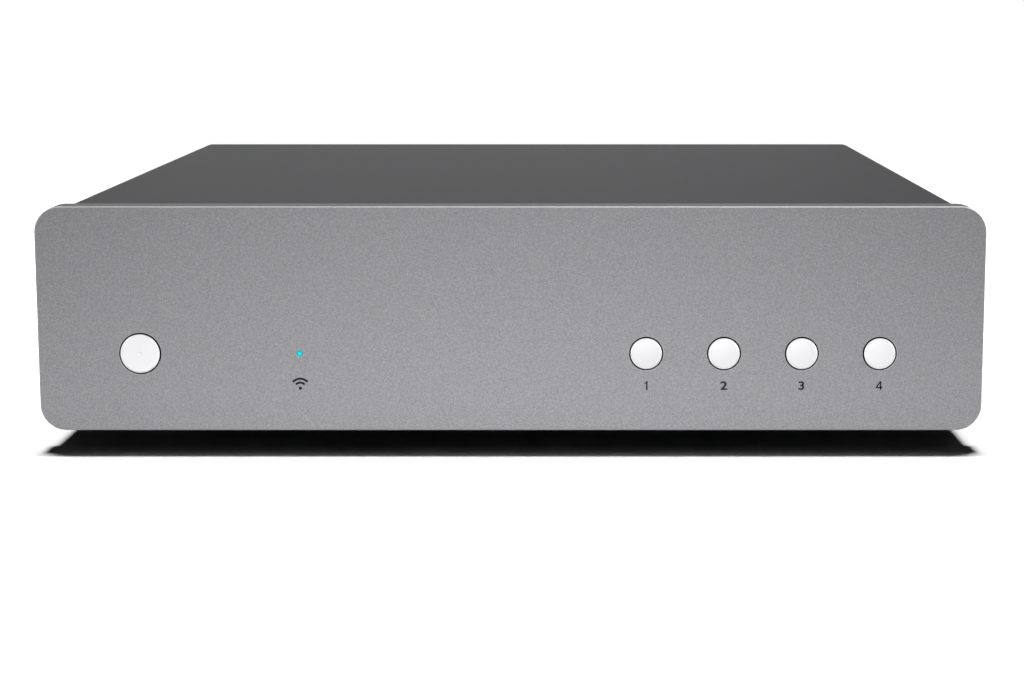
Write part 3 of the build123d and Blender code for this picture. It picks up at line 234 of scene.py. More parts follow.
@dataclass(frozen=True)
class Finish:
    """A finish whose marks show in colour, and in its subclasses in roughness and height."""

    name: str
    colour: Triple
    roughness: float = 0.5
    metallic: float = 0.0
    coat: float = 0.0
    specular: float = 0.5
    pitch: float = 2 * MM  # from one mark to the next
    tones: Pair = (0.96, 1.04)  # factors on the colour between which the marks vary it
    uneven: float = 0.0  # how far they change the roughness, up and down
    relief: float = 0.0  # their height
    span: Pair = (0.3, 0.7)  # values of the pattern for no mark and a full mark

    def material(self) -> Material:
        """Makes the finish's material at its first use.

        Returns:
            The material.
        """
        name = f"finish_{self.name}"
        made = bpy.data.materials.get(name)
        if made:
            return made
        made = bpy.data.materials.new(name)
        made.diffuse_color = (*self.colour, 1)
        graph = Graph(made)
        graph.surface({
            "Base Color": (*self.colour, 1),
            "Metallic": self.metallic,
            "Roughness": self.roughness,
            "Coat Weight": self.coat,
            "Specular IOR Level": self.specular,
        })
        self.dress(graph)
        return made

    def pattern(self, graph: Graph) -> NodeSocket:
        """The marks, which are grains of noise unless a subclass has others."""
        return graph.noise(graph.place(), self.pitch)

    def dress(self, graph: Graph) -> None:
        """Lets the marks show.

        Args:
            graph: Material in the making.
        """
        marks = self.pattern(graph)
        dark, light = (shade(self.colour, tone) for tone in self.tones)
        factor = graph.spread(marks, 0, 1, *self.span)
        graph.surface({"Base Color": graph.blend(factor, dark, light)})
        if self.uneven:
            self.roughen(graph, marks, self.uneven)
        if self.relief:
            bump = graph.add("Bump", {"Height": marks, "Distance": self.relief})
            graph.surface({"Normal": bump.outputs["Normal"]})

    def roughen(self, graph: Graph, marks: NodeSocket, change: float) -> None:
        """Lets the roughness follow some marks, by so much up and down."""
        rough = graph.spread(marks, self.roughness - change, self.roughness + change, *self.span)
        graph.surface({"Roughness": rough})


@dataclass(frozen=True)
class Blasted(Finish):
    """Bead-blasted and anodised metal, with a fine speckle."""

    pitch: float = 0.3 * MM
    tones: Pair = (0.8, 1.2)
    uneven: float = 0.06
    relief: float = 0.006 * MM


@dataclass(frozen=True)
class Painted(Finish):
    """Powder paint on folded sheet."""

    pitch: float = 0.35 * MM
    tones: Pair = (0.92, 1.08)
    relief: float = 0.012 * MM


@dataclass(frozen=True)
class Moulded(Finish):
    """Moulded plastic or rubber with an etched surface."""

    pitch: float = 0.25 * MM
    tones: Pair = (0.94, 1.06)
    uneven: float = 0.08
    relief: float = 0.008 * MM


@dataclass(frozen=True)
class Turned(Finish):
    """Metal turned on a lathe, with rings round a centre."""

    pitch: float = 0.316 * MM
    tones: Pair = (0.95, 1.0)
    relief: float = 0.002 * MM
    span: Pair = (0.0, 1.0)
    centre: Triple = (0.0, 0.0, 0.0)
    wobble: float = 0.4  # distortion of the rings

    def pattern(self, graph: Graph) -> NodeSocket:
        """Draws the rings.

        Args:
            graph: Material in the making.

        Returns:
            The marks, from 0 to 1.
        """
        inputs = {"Scale": WAVE_PERIOD / self.pitch, "Distortion": self.wobble}
        rings = graph.add("TexWave", inputs, wave_type="RINGS", rings_direction="Y")
        graph.feed(rings, {"Vector": graph.place(self.centre)})
        return rings.outputs["Fac"]


@dataclass(frozen=True)
class Striped(Finish):
    """Wires or turns that lie side by side."""

    pitch: float = 1.0 * MM
    tones: Pair = (0.55, 1.0)
    relief: float = 0.2 * MM
    span: Pair = (0.0, 1.0)
    direction: str = "X"  # across the stripes

    def pattern(self, graph: Graph) -> NodeSocket:
        """The rounded stripes."""
        inputs = {"Scale": WAVE_PERIOD / self.pitch, "Vector": graph.place()}
        return graph.add("TexWave", inputs, bands_direction=self.direction).outputs["Fac"]


@dataclass(frozen=True)
class Spangled(Finish):
    """Zinc-plated sheet with its crystals of differing brightness."""

    pitch: float = 4 * MM
    tones: Pair = (0.86, 1.08)
    uneven: float = 0.08
    span: Pair = (0.0, 1.0)

    def pattern(self, graph: Graph) -> NodeSocket:
        """The crystals."""
        cells = graph.add("TexVoronoi", {"Scale": 1 / self.pitch, "Vector": graph.place()})
        return graph.add("RGBToBW", {"Color": cells.outputs["Color"]}).outputs["Val"]


@dataclass(frozen=True)
class Plated(Finish):
    """Plated metal, slightly tarnished and with faint rubbing marks."""

    pitch: float = 1.5 * MM
    tones: Pair = (0.95, 1.05)
    rub: float = 0.2 * MM  # size of a rubbing mark
    stretch: Triple = (1, 0.15, 1)
    rubbed: float = 0.15  # part of the roughness

    def dress(self, graph: Graph) -> None:
        """Adds the rubbing marks to the tarnish.

        Args:
            graph: Material in the making.
        """
        super().dress(graph)
        marks = graph.noise(graph.place(scale=self.stretch), self.rub, 3)
        self.roughen(graph, marks, self.rubbed * self.roughness)


@dataclass(frozen=True)
class Laminate(Finish):
    """Circuit board under its lacquer, with tracks just visible."""

    pitch: float = 3 * MM
    tones: Pair = (0.85, 1.7)
    relief: float = 0.03 * MM
    gap: float = 0.03  # part of the pattern that the tracks take

    def dress(self, graph: Graph) -> None:
        """Adds the tracks in colour and height.

        Args:
            graph: Material in the making.
        """
        dark, light = (shade(self.colour, tone) for tone in self.tones)
        inputs = {"Vector": graph.place(), "Scale": BRICK_ROW / self.pitch, "Mortar Size": self.gap}
        for key, colour in (("Color1", self.colour), ("Color2", dark), ("Mortar", light)):
            inputs[key] = (*colour, 1)
        tracks = graph.add("TexBrick", inputs)
        bump = graph.add("Bump", {"Height": tracks.outputs["Fac"], "Distance": self.relief})
        graph.surface({"Base Color": tracks.outputs["Color"], "Normal": bump.outputs["Normal"]})


@dataclass(frozen=True)
class Lit(Finish):
    """Lens with a lamp behind it, brightest in the middle."""

    pitch: float = 0.5 * MM
    tones: Pair = (0.95, 1.05)
    glow: Triple = (1.0, 1.0, 1.0)
    strength: float = 1.0
    centre: Triple = (0.0, 0.0, 0.0)
    core: float = 0.3 * MM  # radius of the bright middle
    rim: float = 0.6 * MM  # radius at which the light has faded
    faded: float = 0.42  # part of the light that is left there

    def dress(self, graph: Graph) -> None:
        """Adds the light.

        Args:
            graph: Material in the making.
        """
        super().dress(graph)
        away = graph.add("VectorMath", {0: graph.place(self.centre, (1, 0, 1))}, operation="LENGTH")
        fade = graph.spread(away.outputs["Value"], 0, 1, self.core, self.rim)
        light = graph.blend(fade, self.glow, shade(self.glow, self.faded))
        graph.surface({"Emission Color": light, "Emission Strength": self.strength})


@dataclass(frozen=True)
class Clear(Finish):
    """Clear glass."""

    pitch: float = 3 * MM
    tones: Pair = (0.98, 1.02)
    clearness: float = 0.9
    refraction: float = 1.5

    def dress(self, graph: Graph) -> None:
        """Lets light through."""
        super().dress(graph)
        graph.surface({"Transmission Weight": self.clearness, "IOR": self.refraction})


PANEL_GREY = Blasted("panel_blasted", (0.29, 0.29, 0.302), 0.6, 0.15, specular=0.08)
# Darker, duller copy of the panel's finish for its top, bottom and sides: painted shade
PANEL_SIDE_SHADED = Blasted("panel_side", (0.27, 0.27, 0.28), 0.75, specular=0.02)
# Bright cut metal on the chamfers of the panel and the keys, lighter than the metal so that it also paints
# their edge highlight
PANEL_CUT_AND_HIGHLIGHT = Plated("panel_cut_edge", (0.64, 0.64, 0.65), 0.42, 0.4)
BUTTON_CUT_AND_HIGHLIGHT = Plated("button_cut_edge", (0.95, 0.95, 0.96), 0.35, 0.25)
COVER_PAINT = Painted("cover_paint", (0.078, 0.078, 0.082), 0.7, specular=0.02)
RUBBER = Moulded("foot_rubber", (0.018, 0.018, 0.018), 0.85)
SOCKET_PLASTIC = Moulded("socket_moulding", (0.016, 0.016, 0.017), 0.42)
WHITE_PLASTIC = Moulded("white_moulding", (0.78, 0.78, 0.76), 0.5)
GOLD = Plated("gold_plate", (0.8, 0.55, 0.21), 0.36, 0.8)
NICKEL = Plated("nickel_plate", (0.46, 0.455, 0.44), 0.34, 0.85)
DARK_STEEL = Plated("dark_screw_steel", (0.09, 0.09, 0.095), 0.4, 1.0)
INK = Moulded("printed_ink", (0.012, 0.012, 0.013), 0.7, specular=0.08)
# Near-black painted shade for the gaps round the keys, laid on the panel's hole walls and on the caps'
# sides
GAP_SHADE = Blasted("dark_bore", (0.03, 0.03, 0.031), 0.7, specular=0.1)
LAMP = Lit(
    "lamp_lens", (0.005, 0.03, 0.035), 0.35, specular=0.1, glow=(0.012, 0.77, 0.84),
    centre=(LAMP_X, 0, CONTROL_Z),
)
RED_LIGHT = Lit(
    "optical_light", (0.3, 0.02, 0.01), 0.3, glow=(1.0, 0.05, 0.02), strength=1.5, rim=30 * MM,
)
CORE_ORANGE = Moulded("core_orange", (0.75, 0.2, 0.02), 0.4)
CORE_RED = Moulded("core_red", (0.5, 0.02, 0.015), 0.4)
CORE_WHITE = Moulded("core_white", (0.72, 0.72, 0.7), 0.4)
GREEN_WINDOW = Moulded("green_window", (0.05, 0.4, 0.09), 0.25)
AMBER_WINDOW = Moulded("amber_window", (0.75, 0.3, 0.03), 0.25)

SLOT_FINISHES: dict[str, Finish] = {
    "front_panel": PANEL_GREY,
    "cover": COVER_PAINT,
    "chassis": Spangled("zinc_sheet", (0.34, 0.345, 0.35), 0.5, 0.85),
    "rear_panel": Painted("rear_paint", (0.028, 0.028, 0.03), 0.55),
    "insulation": Moulded("insulation_card", (0.72, 0.7, 0.62), 0.7),
    "feet": RUBBER,
    "dark_screws": DARK_STEEL,
    "bright_screws": Plated("bright_screw_steel", (0.66, 0.66, 0.66), 0.3, 1.0),
    "black_plastic": Moulded("black_moulding", (0.022, 0.022, 0.023), 0.5),
    "switch_plastic": Moulded("switch_moulding", (0.035, 0.035, 0.036), 0.45),
    "white_plastic": WHITE_PLASTIC,
    "board": Laminate("green_board", (0.012, 0.09, 0.045), 0.35, 0.0, 0.4),
    "power_board": Laminate("tan_board", (0.36, 0.26, 0.11), 0.55, pitch=5 * MM),
    "module_board": Laminate("blue_board", (0.012, 0.035, 0.14), 0.35, 0.0, 0.4, pitch=1.5 * MM),
    "tin_plate": Plated("tin_plate", (0.68, 0.68, 0.67), 0.35, 1.0),
    "capacitor_sleeve": Moulded("capacitor_sleeve", (0.012, 0.02, 0.06), 0.25, 0.0, 0.3, pitch=1 * MM),
    "ferrite": Moulded("ferrite", (0.05, 0.05, 0.052), 0.55),
    "winding_tape": Striped("winding_tape", (0.75, 0.55, 0.06), 0.35, pitch=5 * MM, direction="Z"),
    "heat_sink": Blasted("heat_sink_black", (0.03, 0.03, 0.03), 0.5, 0.6),
    "fuse_glass": Clear("fuse_glass", (0.9, 0.95, 0.95), 0.05),
    "copper_winding": Striped(
        "copper_winding", (0.5, 0.17, 0.06), 0.35, 0.9, 0.3, pitch=0.8 * MM, direction="Y"
    ),
    "ribbon": Striped("ribbon_grey", (0.36, 0.36, 0.37), 0.45, pitch=1.27 * MM),
    "coax": Moulded("coax_sleeve", (0.03, 0.03, 0.03), 0.5),
    "lamp_lens": LAMP,
    "socket_plastic": SOCKET_PLASTIC,
    "nickel": NICKEL,
    "gold": GOLD,
    "insulator": CORE_WHITE,
    "button_metal": Finish("button_metal", (0.85, 0.85, 0.86), 0.3, 0.9),
}


def rod(radius: float, start: float, end: float) -> Profile:
    """Profile of a plain rod."""
    return [(0.0, start), (radius, start), (radius, end), (0.0, end)]


class Shape:
    """A mesh in the making, in the part's own frame."""

    def __init__(self) -> None:
        """Starts with nothing."""
        self.mesh = bmesh.new()

    def chain(self, points: Iterable[Place], closed: bool = True) -> tuple[list, Loop]:
        """Adds points joined by edges, the last to the first where it is closed."""
        verts = [self.mesh.verts.new(point) for point in points]
        return verts, [self.mesh.edges.new(pair) for pair in zip(verts, verts[1:] + verts[:closed])]

    def turned(
        self, profile: Profile, centre: Place, axis: Axis = Axis.BACK,
        steps: int = 64, closed: bool = False,
    ) -> Shape:
        """Spins a profile round an axis.

        Args:
            profile: Points as radius and distance along the axis from the centre.
            centre: Point on the axis.
            axis: Direction of the axis.
            steps: Sides of the round form.
            closed: Whether the last point joins the first, as in a tube's wall.

        Returns:
            The shape.
        """
        along, centre = axis.vector, Vector(centre)
        out = along.orthogonal().normalized()
        verts, edges = self.chain((centre + out * r + along * d for r, d in profile), closed)
        bmesh.ops.spin(
            self.mesh, geom=verts + edges, cent=centre, axis=along, angle=FULL_TURN,
            steps=steps, use_merge=True,
        )
        return self

    def block(self, low: Place, high: Place, ease: float) -> Shape:
        """Adds a box with eased edges.

        Args:
            low: Lowest corner.
            high: Highest corner.
            ease: Width of the eased edges.

        Returns:
            The shape.
        """
        low, high = Vector(low), Vector(high)
        place = Matrix.LocRotScale((low + high) / 2, None, high - low)
        made = bmesh.ops.create_cube(self.mesh, size=1, matrix=place)
        return self.bevel({e for v in made["verts"] for e in v.link_edges}, ease)

    def bevel(self, edges: Iterable[BMEdge], width: float) -> Shape:
        """Eases some edges in two steps.

        Args:
            edges: The edges.
            width: What the bevel takes of each face.

        Returns:
            The shape.
        """
        bmesh.ops.bevel(
            self.mesh, geom=list(edges), offset=width, offset_type="OFFSET", segments=2,
            profile=0.5, affect="EDGES", clamp_overlap=True, material=-1,
        )
        return self

    def round(self, verts: Sequence[BMVert], radius: float, steps: int) -> list:
        """Rounds corners of an outline.

        Args:
            verts: The corners.
            radius: Their radius.
            steps: Edges round each of them.

        Returns:
            The vertices of the round corners.
        """
        return bmesh.ops.bevel(
            self.mesh, geom=verts, offset=radius, offset_type="OFFSET", segments=steps,
            profile=0.5, affect="VERTICES", clamp_overlap=False, material=-1,
        )["verts"]

    def outline(
        self, low: Pair, high: Pair, y: float, corner: float, steps: int
    ) -> Loop:
        """Adds the edge loop of a rectangle with round corners that faces the front.

        Args:
            low: Lowest X and Z.
            high: Highest X and Z.
            y: Depth of the loop.
            corner: Radius of its corners.
            steps: Steps of each corner.

        Returns:
            The loop's edges.
        """
        places = ((low[0], low[1]), (high[0], low[1]), (high[0], high[1]), (low[0], high[1]))
        verts = [self.mesh.verts.new((x, y, z)) for x, z in places]
        self.mesh.faces.new(verts)
        corners = self.round(verts, corner, steps)
        face = max((f for v in corners for f in v.link_faces), key=lambda f: f.calc_area())
        loop = list(face.edges)
        bmesh.ops.delete(self.mesh, geom=[face], context="FACES_ONLY")
        return loop

    def ring(self, centre: Place, radius: float, axis: Axis, sides: int) -> Loop:
        """Adds the edge loop of a circle or a regular polygon.

        Args:
            centre: Its centre.
            radius: Radius to its corners.
            axis: Direction that it faces.
            sides: Number of sides.

        Returns:
            The loop's edges.
        """
        place = Matrix.LocRotScale(Vector(centre), axis.vector.to_track_quat("Z", "Y"), None)
        made = bmesh.ops.create_circle(
            self.mesh, cap_ends=False, radius=radius, segments=sides, matrix=place
        )
        return list({e for v in made["verts"] for e in v.link_edges})

    def bridge(self, *loops: Loop) -> list[BMFace]:
        """Joins each edge loop to the next.

        Args:
            *loops: Loops of as many edges each.

        Returns:
            The faces between them.
        """
        faces = []
        for first, second in zip(loops, loops[1:]):
            faces += bmesh.ops.bridge_loops(self.mesh, edges=first + second)["faces"]
        return faces

    def fill(self, edges: Loop) -> None:
        """Fills an outer loop and leaves the loops inside it open."""
        bmesh.ops.triangle_fill(self.mesh, use_beauty=True, use_dissolve=False, edges=edges)

    def shift(self, made: dict[str, list], offset: Place) -> None:
        """Moves the vertices among what an operator has made."""
        moved = [g for g in made["geom"] if isinstance(g, BMVert)]
        bmesh.ops.translate(self.mesh, verts=moved, vec=offset)

    def plate(self, thickness: float) -> Shape:
        """Fills the loops made so far, holes left open, and thickens them.

        Args:
            thickness: Distance to the plate's other face, further back if positive.

        Returns:
            The shape.
        """
        edges = [e for e in self.mesh.edges if e.is_wire]
        self.fill(edges)
        faces = {f for e in edges for f in e.link_faces}
        made = bmesh.ops.extrude_face_region(self.mesh, geom=list(faces), use_keep_orig=True)
        self.shift(made, (0, thickness, 0))
        return self

    def rims(self, test: Callable[[Vector, Vector], bool]) -> Loop:
        """Finds sharp edges by where they lie.

        Args:
            test: Given an edge's two ends, says whether it counts.

        Returns:
            The edges.
        """
        self.mesh.normal_update()
        return [
            e for e in self.mesh.edges
            if len(e.link_faces) == 2
            and e.calc_face_angle(0) > SHARP
            and test(e.verts[0].co, e.verts[1].co)
        ]

    def closed(self) -> Shape:
        """Merges what touches and turns every face outwards.

        Returns:
            The shape.
        """
        bmesh.ops.remove_doubles(self.mesh, verts=self.mesh.verts[:], dist=TOUCHING)
        bmesh.ops.recalc_face_normals(self.mesh, faces=self.mesh.faces[:])
        return self

    def piece(
        self, name: str, finish: Finish, slot: str, body: str = Body.CASE.value,
        replaces: str = "", sharp: float = 32.0,
    ) -> Object:
        """Makes the shape a finished piece that rides on its body.

        Args:
            name: Name of the piece.
            finish: Its finish.
            slot: The record's material slot; not used.
            body: Body that it rides on.
            replaces: Node that it stands for, if any.
            sharp: Edges that turn by more than this many degrees stay sharp.

        Returns:
            The piece.
        """
        data = bpy.data.meshes.new(name)
        self.mesh.to_mesh(data)
        self.mesh.free()
        data.shade_smooth()
        data.set_sharp_from_angle(angle=math.radians(sharp))
        data.materials.append(finish.material())
        made = bpy.data.objects.new(name, data)
        bpy.context.scene.collection.objects.link(made)
        flat = made.modifiers.new("flat_faces", "WEIGHTED_NORMAL")
        flat.weight = LARGE_FACES_LEAD
        flat.keep_sharp = True
        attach(made, body)
        if replaces:
            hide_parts(replaces)
        LOG.info("%s: %d faces, %s", name, len(data.polygons), finish.name)
        return made


@dataclass
class FrontPanel:
    """Thick machined plate with a bright cut edge, partly a painted highlight, bored for the buttons and
    the lamp.
    """

    corner: float = 5.9 * MM
    corner_steps: int = 16
    edge: float = 0.2 * MM
    hole_edge: float = 0.1 * MM
    power_hole: float = 4.8 * MM
    preset_hole: float = 3.9 * MM
    lamp_hole: float = 0.75 * MM

    def build(self) -> None:
        """Makes the plate from its edge loops, its chamfers in the bright finish that also paints their
        highlight.
        """
        low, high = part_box("front_panel")
        depth = high.y - low.y
        shape = Shape()
        rims = [
            shape.outline(
                (low.x + inset, low.z + inset), (high.x - inset, high.z - inset), low.y + reach,
                self.corner - inset, self.corner_steps,
            )
            for inset, reach in ((self.edge, 0.0), (0.0, self.edge), (0.0, depth))
        ]
        cut, flanks, walls = shape.bridge(*rims[:2]), shape.bridge(*rims[1:]), []
        front, back = rims[0][:], rims[-1][:]
        holes = [(POWER_X, self.power_hole, 72), (LAMP_X, self.lamp_hole, 32)]
        holes += [(x, self.preset_hole, 64) for x in PRESET_X]
        for x, radius, sides in holes:
            loops = [
                shape.ring((x, low.y + reach, CONTROL_Z), radius + grow, Axis.FRONT, sides)
                for grow, reach in ((self.hole_edge, 0.0), (0.0, self.hole_edge), (0.0, depth))
            ]
            cut += shape.bridge(*loops[:2])
            walls += shape.bridge(*loops[1:])
            front += loops[0]
            back += loops[-1]
        shape.fill(front)
        shape.fill(back)
        # The hole walls, index 2, take the painted gap shade
        for index, faces in enumerate((shape.mesh.faces, cut, walls, flanks)):
            for face in faces:
                face.material_index = index
        plate = shape.closed().piece("front_plate", PANEL_GREY, "front_panel", replaces="front_panel")
        # The flanks, index 3, take the darker copy of the panel finish, which paints their shade
        for finish in (PANEL_CUT_AND_HIGHLIGHT, GAP_SHADE, PANEL_SIDE_SHADED):
            plate.data.materials.append(finish.material())


@dataclass
class PushButton:
    """Turned metal cap of one key, with a broken edge eased at both ends."""

    node: str
    body: str
    x: float
    pip: bool = False
    tone: float = 0.82
    edge: float = 0.3 * MM
    ease: float = 0.054 * MM
    sag: float = 0.0108 * MM
    pip_radius: float = 0.5 * MM
    pip_depth: float = 0.35 * MM

    def build(self) -> None:
        """Spins the cap, with a pip in the middle where the key has one."""
        low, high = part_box(self.node)
        radius, depth = (high.x - low.x) / 2, high.y - low.y
        face = [(0.0, self.pip_depth), (self.pip_radius, 0.0)] if self.pip else [(0.0, 0.0)]
        profile = face + [
            (radius - self.edge - self.ease, 0.0), (radius - self.edge, self.sag),
            (radius - self.sag, self.edge - self.ease), (radius, self.edge + self.ease),
            (radius, depth), (0.0, depth),
        ]
        centre = Vector((self.x, low.y, CONTROL_Z))
        finish = Turned(
            f"turned_{self.node}", (self.tone, self.tone, self.tone + 0.01), roughness=0.5,
            metallic=0.2, specular=0.15, centre=tuple(centre),
        )
        shape = Shape().turned(profile, centre, steps=96).closed()
        cap = shape.piece(f"{self.node}_cap", finish, "button_metal", self.body, self.node, 25)
        for finish in (BUTTON_CUT_AND_HIGHLIGHT, GAP_SHADE):
            cap.data.materials.append(finish.material())
        rim = low.y + self.edge + self.ease
        for face in cap.data.polygons:
            outside = (face.center - centre).length > radius / 2
            # The cap's side behind its rim takes the painted gap shade
            if face.center.y > rim:
                face.material_index = 2
            # The rim's chamfer takes the bright cut edge that also paints its highlight
            elif outside and abs(face.normal.y) < 0.9:
                face.material_index = 1


@dataclass
class StatusLamp:
    """Clear light pipe whose nose lies flush with the panel."""

    nose: float = 0.72 * MM
    dome: float = 0.06 * MM
    shaft: float = 1.5 * MM
    ease: float = 0.2 * MM

    def build(self) -> None:
        """Makes the pipe from its domed nose, its shoulder and its shaft."""
        low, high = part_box("light_pipe")
        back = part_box("front_panel")[1].y
        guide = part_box("button_guide")[0].y
        profile = [
            (0.0, -self.dome), (self.nose * 0.5, -self.dome * 0.75), (self.nose * 0.85, 0.0),
            (self.nose, self.dome), (self.nose, back - low.y), (0.0, back - low.y),
        ]
        shape = Shape().turned(profile, (LAMP_X, low.y, CONTROL_Z), steps=32)
        for half, start, end in (((high.x - low.x) / 2, back, guide), (self.shaft, guide, high.y)):
            near = (LAMP_X - half, start, CONTROL_Z - half)
            shape.block(near, (LAMP_X + half, end, CONTROL_Z + half), self.ease)
        shape.closed().piece("lamp_pipe", LAMP, "lamp_lens", replaces="light_pipe")


# Outlines of the numbers whose plain letters differ, in half heights from the middle
DIGIT_OUTLINES: dict[int, tuple[Profile, ...]] = {
    1: ((
        (0.02, -1.0), (0.34, -1.0), (0.34, 1.0), (0.1, 1.0), (-0.08, 0.74), (-0.42, 0.6),
        (-0.42, 0.36), (0.02, 0.5),
    ),),
    4: (
        (
            (0.2, -1.0), (0.5, -1.0), (0.5, -0.56), (0.76, -0.56), (0.76, -0.3), (0.5, -0.3),
            (0.5, 1.0), (0.18, 1.0), (-0.74, -0.28), (-0.74, -0.56), (0.2, -0.56),
        ),
        ((0.2, -0.3), (0.2, 0.52), (-0.38, -0.3)),
    ),
}


@dataclass
class PanelMarks:
    """Printed numbers under the four keys and the wave mark under the lamp."""

    digit_height: float = 2.0 * MM
    digit_stretch: float = 1.2
    digit_weight: float = 0.02
    digit_z: float = 15.4 * MM
    wave_z: float = 14.8 * MM
    dot: float = 0.38 * MM
    arcs: tuple[float, ...] = (1.3 * MM, 2.2 * MM)
    arc_width: float = 0.48 * MM
    half_angle: float = math.radians(50)
    ink: float = 0.02 * MM

    def build(self) -> None:
        """Prints the numbers and the mark."""
        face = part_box("front_panel")[0].y
        for number, x in enumerate(PRESET_X, 1):
            outlines = DIGIT_OUTLINES.get(number)
            centre = Vector((x, face, self.digit_z))
            shape = self.drawn(outlines, centre) if outlines else self.letter(number, centre)
            shape.closed().piece(f"number_{number}", INK, "black_plastic")
        self.waves(Vector((LAMP_X, face - self.ink / 2, self.wave_z)))

    def letter(self, number: int, centre: Vector) -> Shape:
        """A number from the plain letters.

        Args:
            number: The number.
            centre: Its middle, on the panel's face.

        Returns:
            The shape.
        """
        text = bpy.data.curves.new(f"digit_{number}", "FONT")
        text.body = str(number)
        text.extrude = 0.5
        text.offset = self.digit_weight
        flat = bpy.data.objects.new(text.name, text)
        bpy.context.scene.collection.objects.link(flat)
        bpy.context.view_layer.update()
        data = bpy.data.meshes.new_from_object(flat)
        bpy.data.objects.remove(flat)
        places = [v.co for v in data.vertices]
        low, high = Vector(map(min, *places)), Vector(map(max, *places))
        scale = self.digit_height / (high.y - low.y)
        data.transform(
            Matrix.Translation(centre)
            @ Matrix.Rotation(math.pi / 2, 4, "X")
            @ Matrix.Diagonal((scale * self.digit_stretch, scale, self.ink / (high.z - low.z), 1))
            @ Matrix.Translation((low + high) / -2)
        )
        shape = Shape()
        shape.mesh.from_mesh(data)
        bpy.data.meshes.remove(data)
        return shape

    def drawn(self, outlines: Sequence[Profile], centre: Vector) -> Shape:
        """A number from its outlines.

        Args:
            outlines: The outer outline and those of its holes, in half heights.
            centre: Its middle, on the panel's face.

        Returns:
            The shape.
        """
        half = self.digit_height / 2
        shape = Shape()
        for outline in outlines:
            shape.chain(centre + Vector((a * half, -self.ink / 2, b * half)) for a, b in outline)
        return shape.plate(self.ink)

    def waves(self, centre: Vector) -> None:
        """Prints two arcs over a dot.

        Args:
            centre: Middle of the dot's near side.
        """
        shape = Shape().turned(rod(self.dot, 0.0, self.ink), centre, steps=24)
        start = Matrix.Rotation(-self.half_angle, 3, "Y")
        for radius in self.arcs:
            inner, outer = radius - self.arc_width / 2, radius + self.arc_width / 2
            section = ((inner, 0), (outer, 0), (outer, self.ink), (inner, self.ink))
            verts = [shape.mesh.verts.new(centre + start @ Vector((0, y, r))) for r, y in section]
            cap = shape.mesh.faces.new(verts)
            bmesh.ops.spin(
                shape.mesh, geom=[cap, *cap.edges, *verts], cent=centre, axis=(0, 1, 0),
                angle=2 * self.half_angle, steps=24, use_duplicate=False,
            )
            shape.mesh.faces.new([shape.mesh.verts.new(v.co) for v in verts])
        shape.closed().piece("wave_mark", INK, "black_plastic")


@dataclass
class Cover:
    """Folded sleeve round the top and the sides, turned in below."""

    fold: float = 4.65 * MM
    fold_steps: int = 14
    lip: float = 12.0 * MM
    edge: float = 0.15 * MM

    def build(self) -> None:
        """Folds one strip, thickens it inwards and eases its edges."""
        low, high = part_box("top_cover")
        path = [
            (low.x + self.lip, low.z), (low.x, low.z), (low.x, high.z),
            (high.x, high.z), (high.x, low.z), (high.x - self.lip, low.z),
        ]
        shape = Shape()
        mesh = shape.mesh
        verts, _ = shape.chain(((x, low.y, z) for x, z in path), closed=False)
        shape.round(verts[1:-1], self.fold, self.fold_steps)
        made = bmesh.ops.extrude_edge_only(mesh, edges=mesh.edges[:])
        shape.shift(made, (0, high.y - low.y, 0))
        bmesh.ops.recalc_face_normals(mesh, faces=mesh.faces[:])
        if max(mesh.faces, key=lambda f: f.calc_center_median().z).normal.z < 0:
            bmesh.ops.reverse_faces(mesh, faces=mesh.faces[:])
        bmesh.ops.solidify(mesh, geom=mesh.faces[:], thickness=SHEET)
        shape.closed()
        ends = shape.rims(lambda a, b: abs(a.y - b.y) < 0.01 * MM or a.z < low.z + 2 * MM)
        shape.bevel(ends, self.edge).piece("cover_sleeve", COVER_PAINT, "cover", replaces="top_cover")


@dataclass
class Feet:
    """Four rubber feet with a rolled edge and a well for their screws."""

    top: float = 8.9 * MM
    bottom: float = 8.05 * MM
    height: float = 7.05 * MM
    draft: float = 0.1 * MM
    roll: float = 0.8 * MM
    well: float = 3.5 * MM
    bore: float = 1.7 * MM

    def build(self) -> None:
        """Spins the four feet into one piece."""
        profile = [
            (self.bore, self.height), (self.top, self.height), (self.bottom + self.draft, self.roll),
            (self.bottom - 0.3 * self.roll, 0.28 * self.roll), (self.bottom - self.roll, 0.0),
            (self.well, 0.0), (self.well, FOOT_WELL), (self.bore, FOOT_WELL),
        ]
        shape = Shape()
        for x, y in FOOT_PLACES:
            shape.turned(profile, (x, y, 0), Axis.UP, 56, closed=True)
        shape.closed().piece("rubber_feet", RUBBER, "feet", replaces="feet")


@dataclass
class PhonoJack:
    """Metal sleeve round a coloured core, for a phono plug."""

    x: float
    name: str
    core: Finish
    outer: float = 4.15 * MM
    inner: float = 3.4 * MM
    core_radius: float = 3.35 * MM
    bore: float = 1.65 * MM
    bore_depth: float = 8.0 * MM
    edge: float = 0.25 * MM

    def build(self) -> None:
        """Spins the sleeve and the core."""
        low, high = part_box("phono_sleeves")
        reach = high.y - low.y
        centre = (self.x, low.y, PHONO_Z)
        sleeve = [
            (self.inner, 0.0), (self.outer, 0.0), (self.outer, reach - self.edge),
            (self.outer - self.edge, reach), (self.inner + 0.5 * self.edge, reach),
            (self.inner, reach - 0.5 * self.edge),
        ]
        Shape().turned(sleeve, centre, closed=True).closed().piece(
            f"{self.name}_sleeve", GOLD, "gold", replaces="phono_sleeves"
        )
        start, tip = (end.y - low.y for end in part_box("phono_insulators"))
        core = [
            (0.0, start), (self.core_radius, start), (self.core_radius, tip - self.edge),
            (self.core_radius - self.edge, tip), (self.bore + self.edge, tip),
            (self.bore, tip - self.edge), (self.bore, tip - self.bore_depth),
            (0.0, tip - self.bore_depth),
        ]
        Shape().turned(core, centre).closed().piece(
            f"{self.name}_core", self.core, "insulator", replaces="phono_insulators"
        )


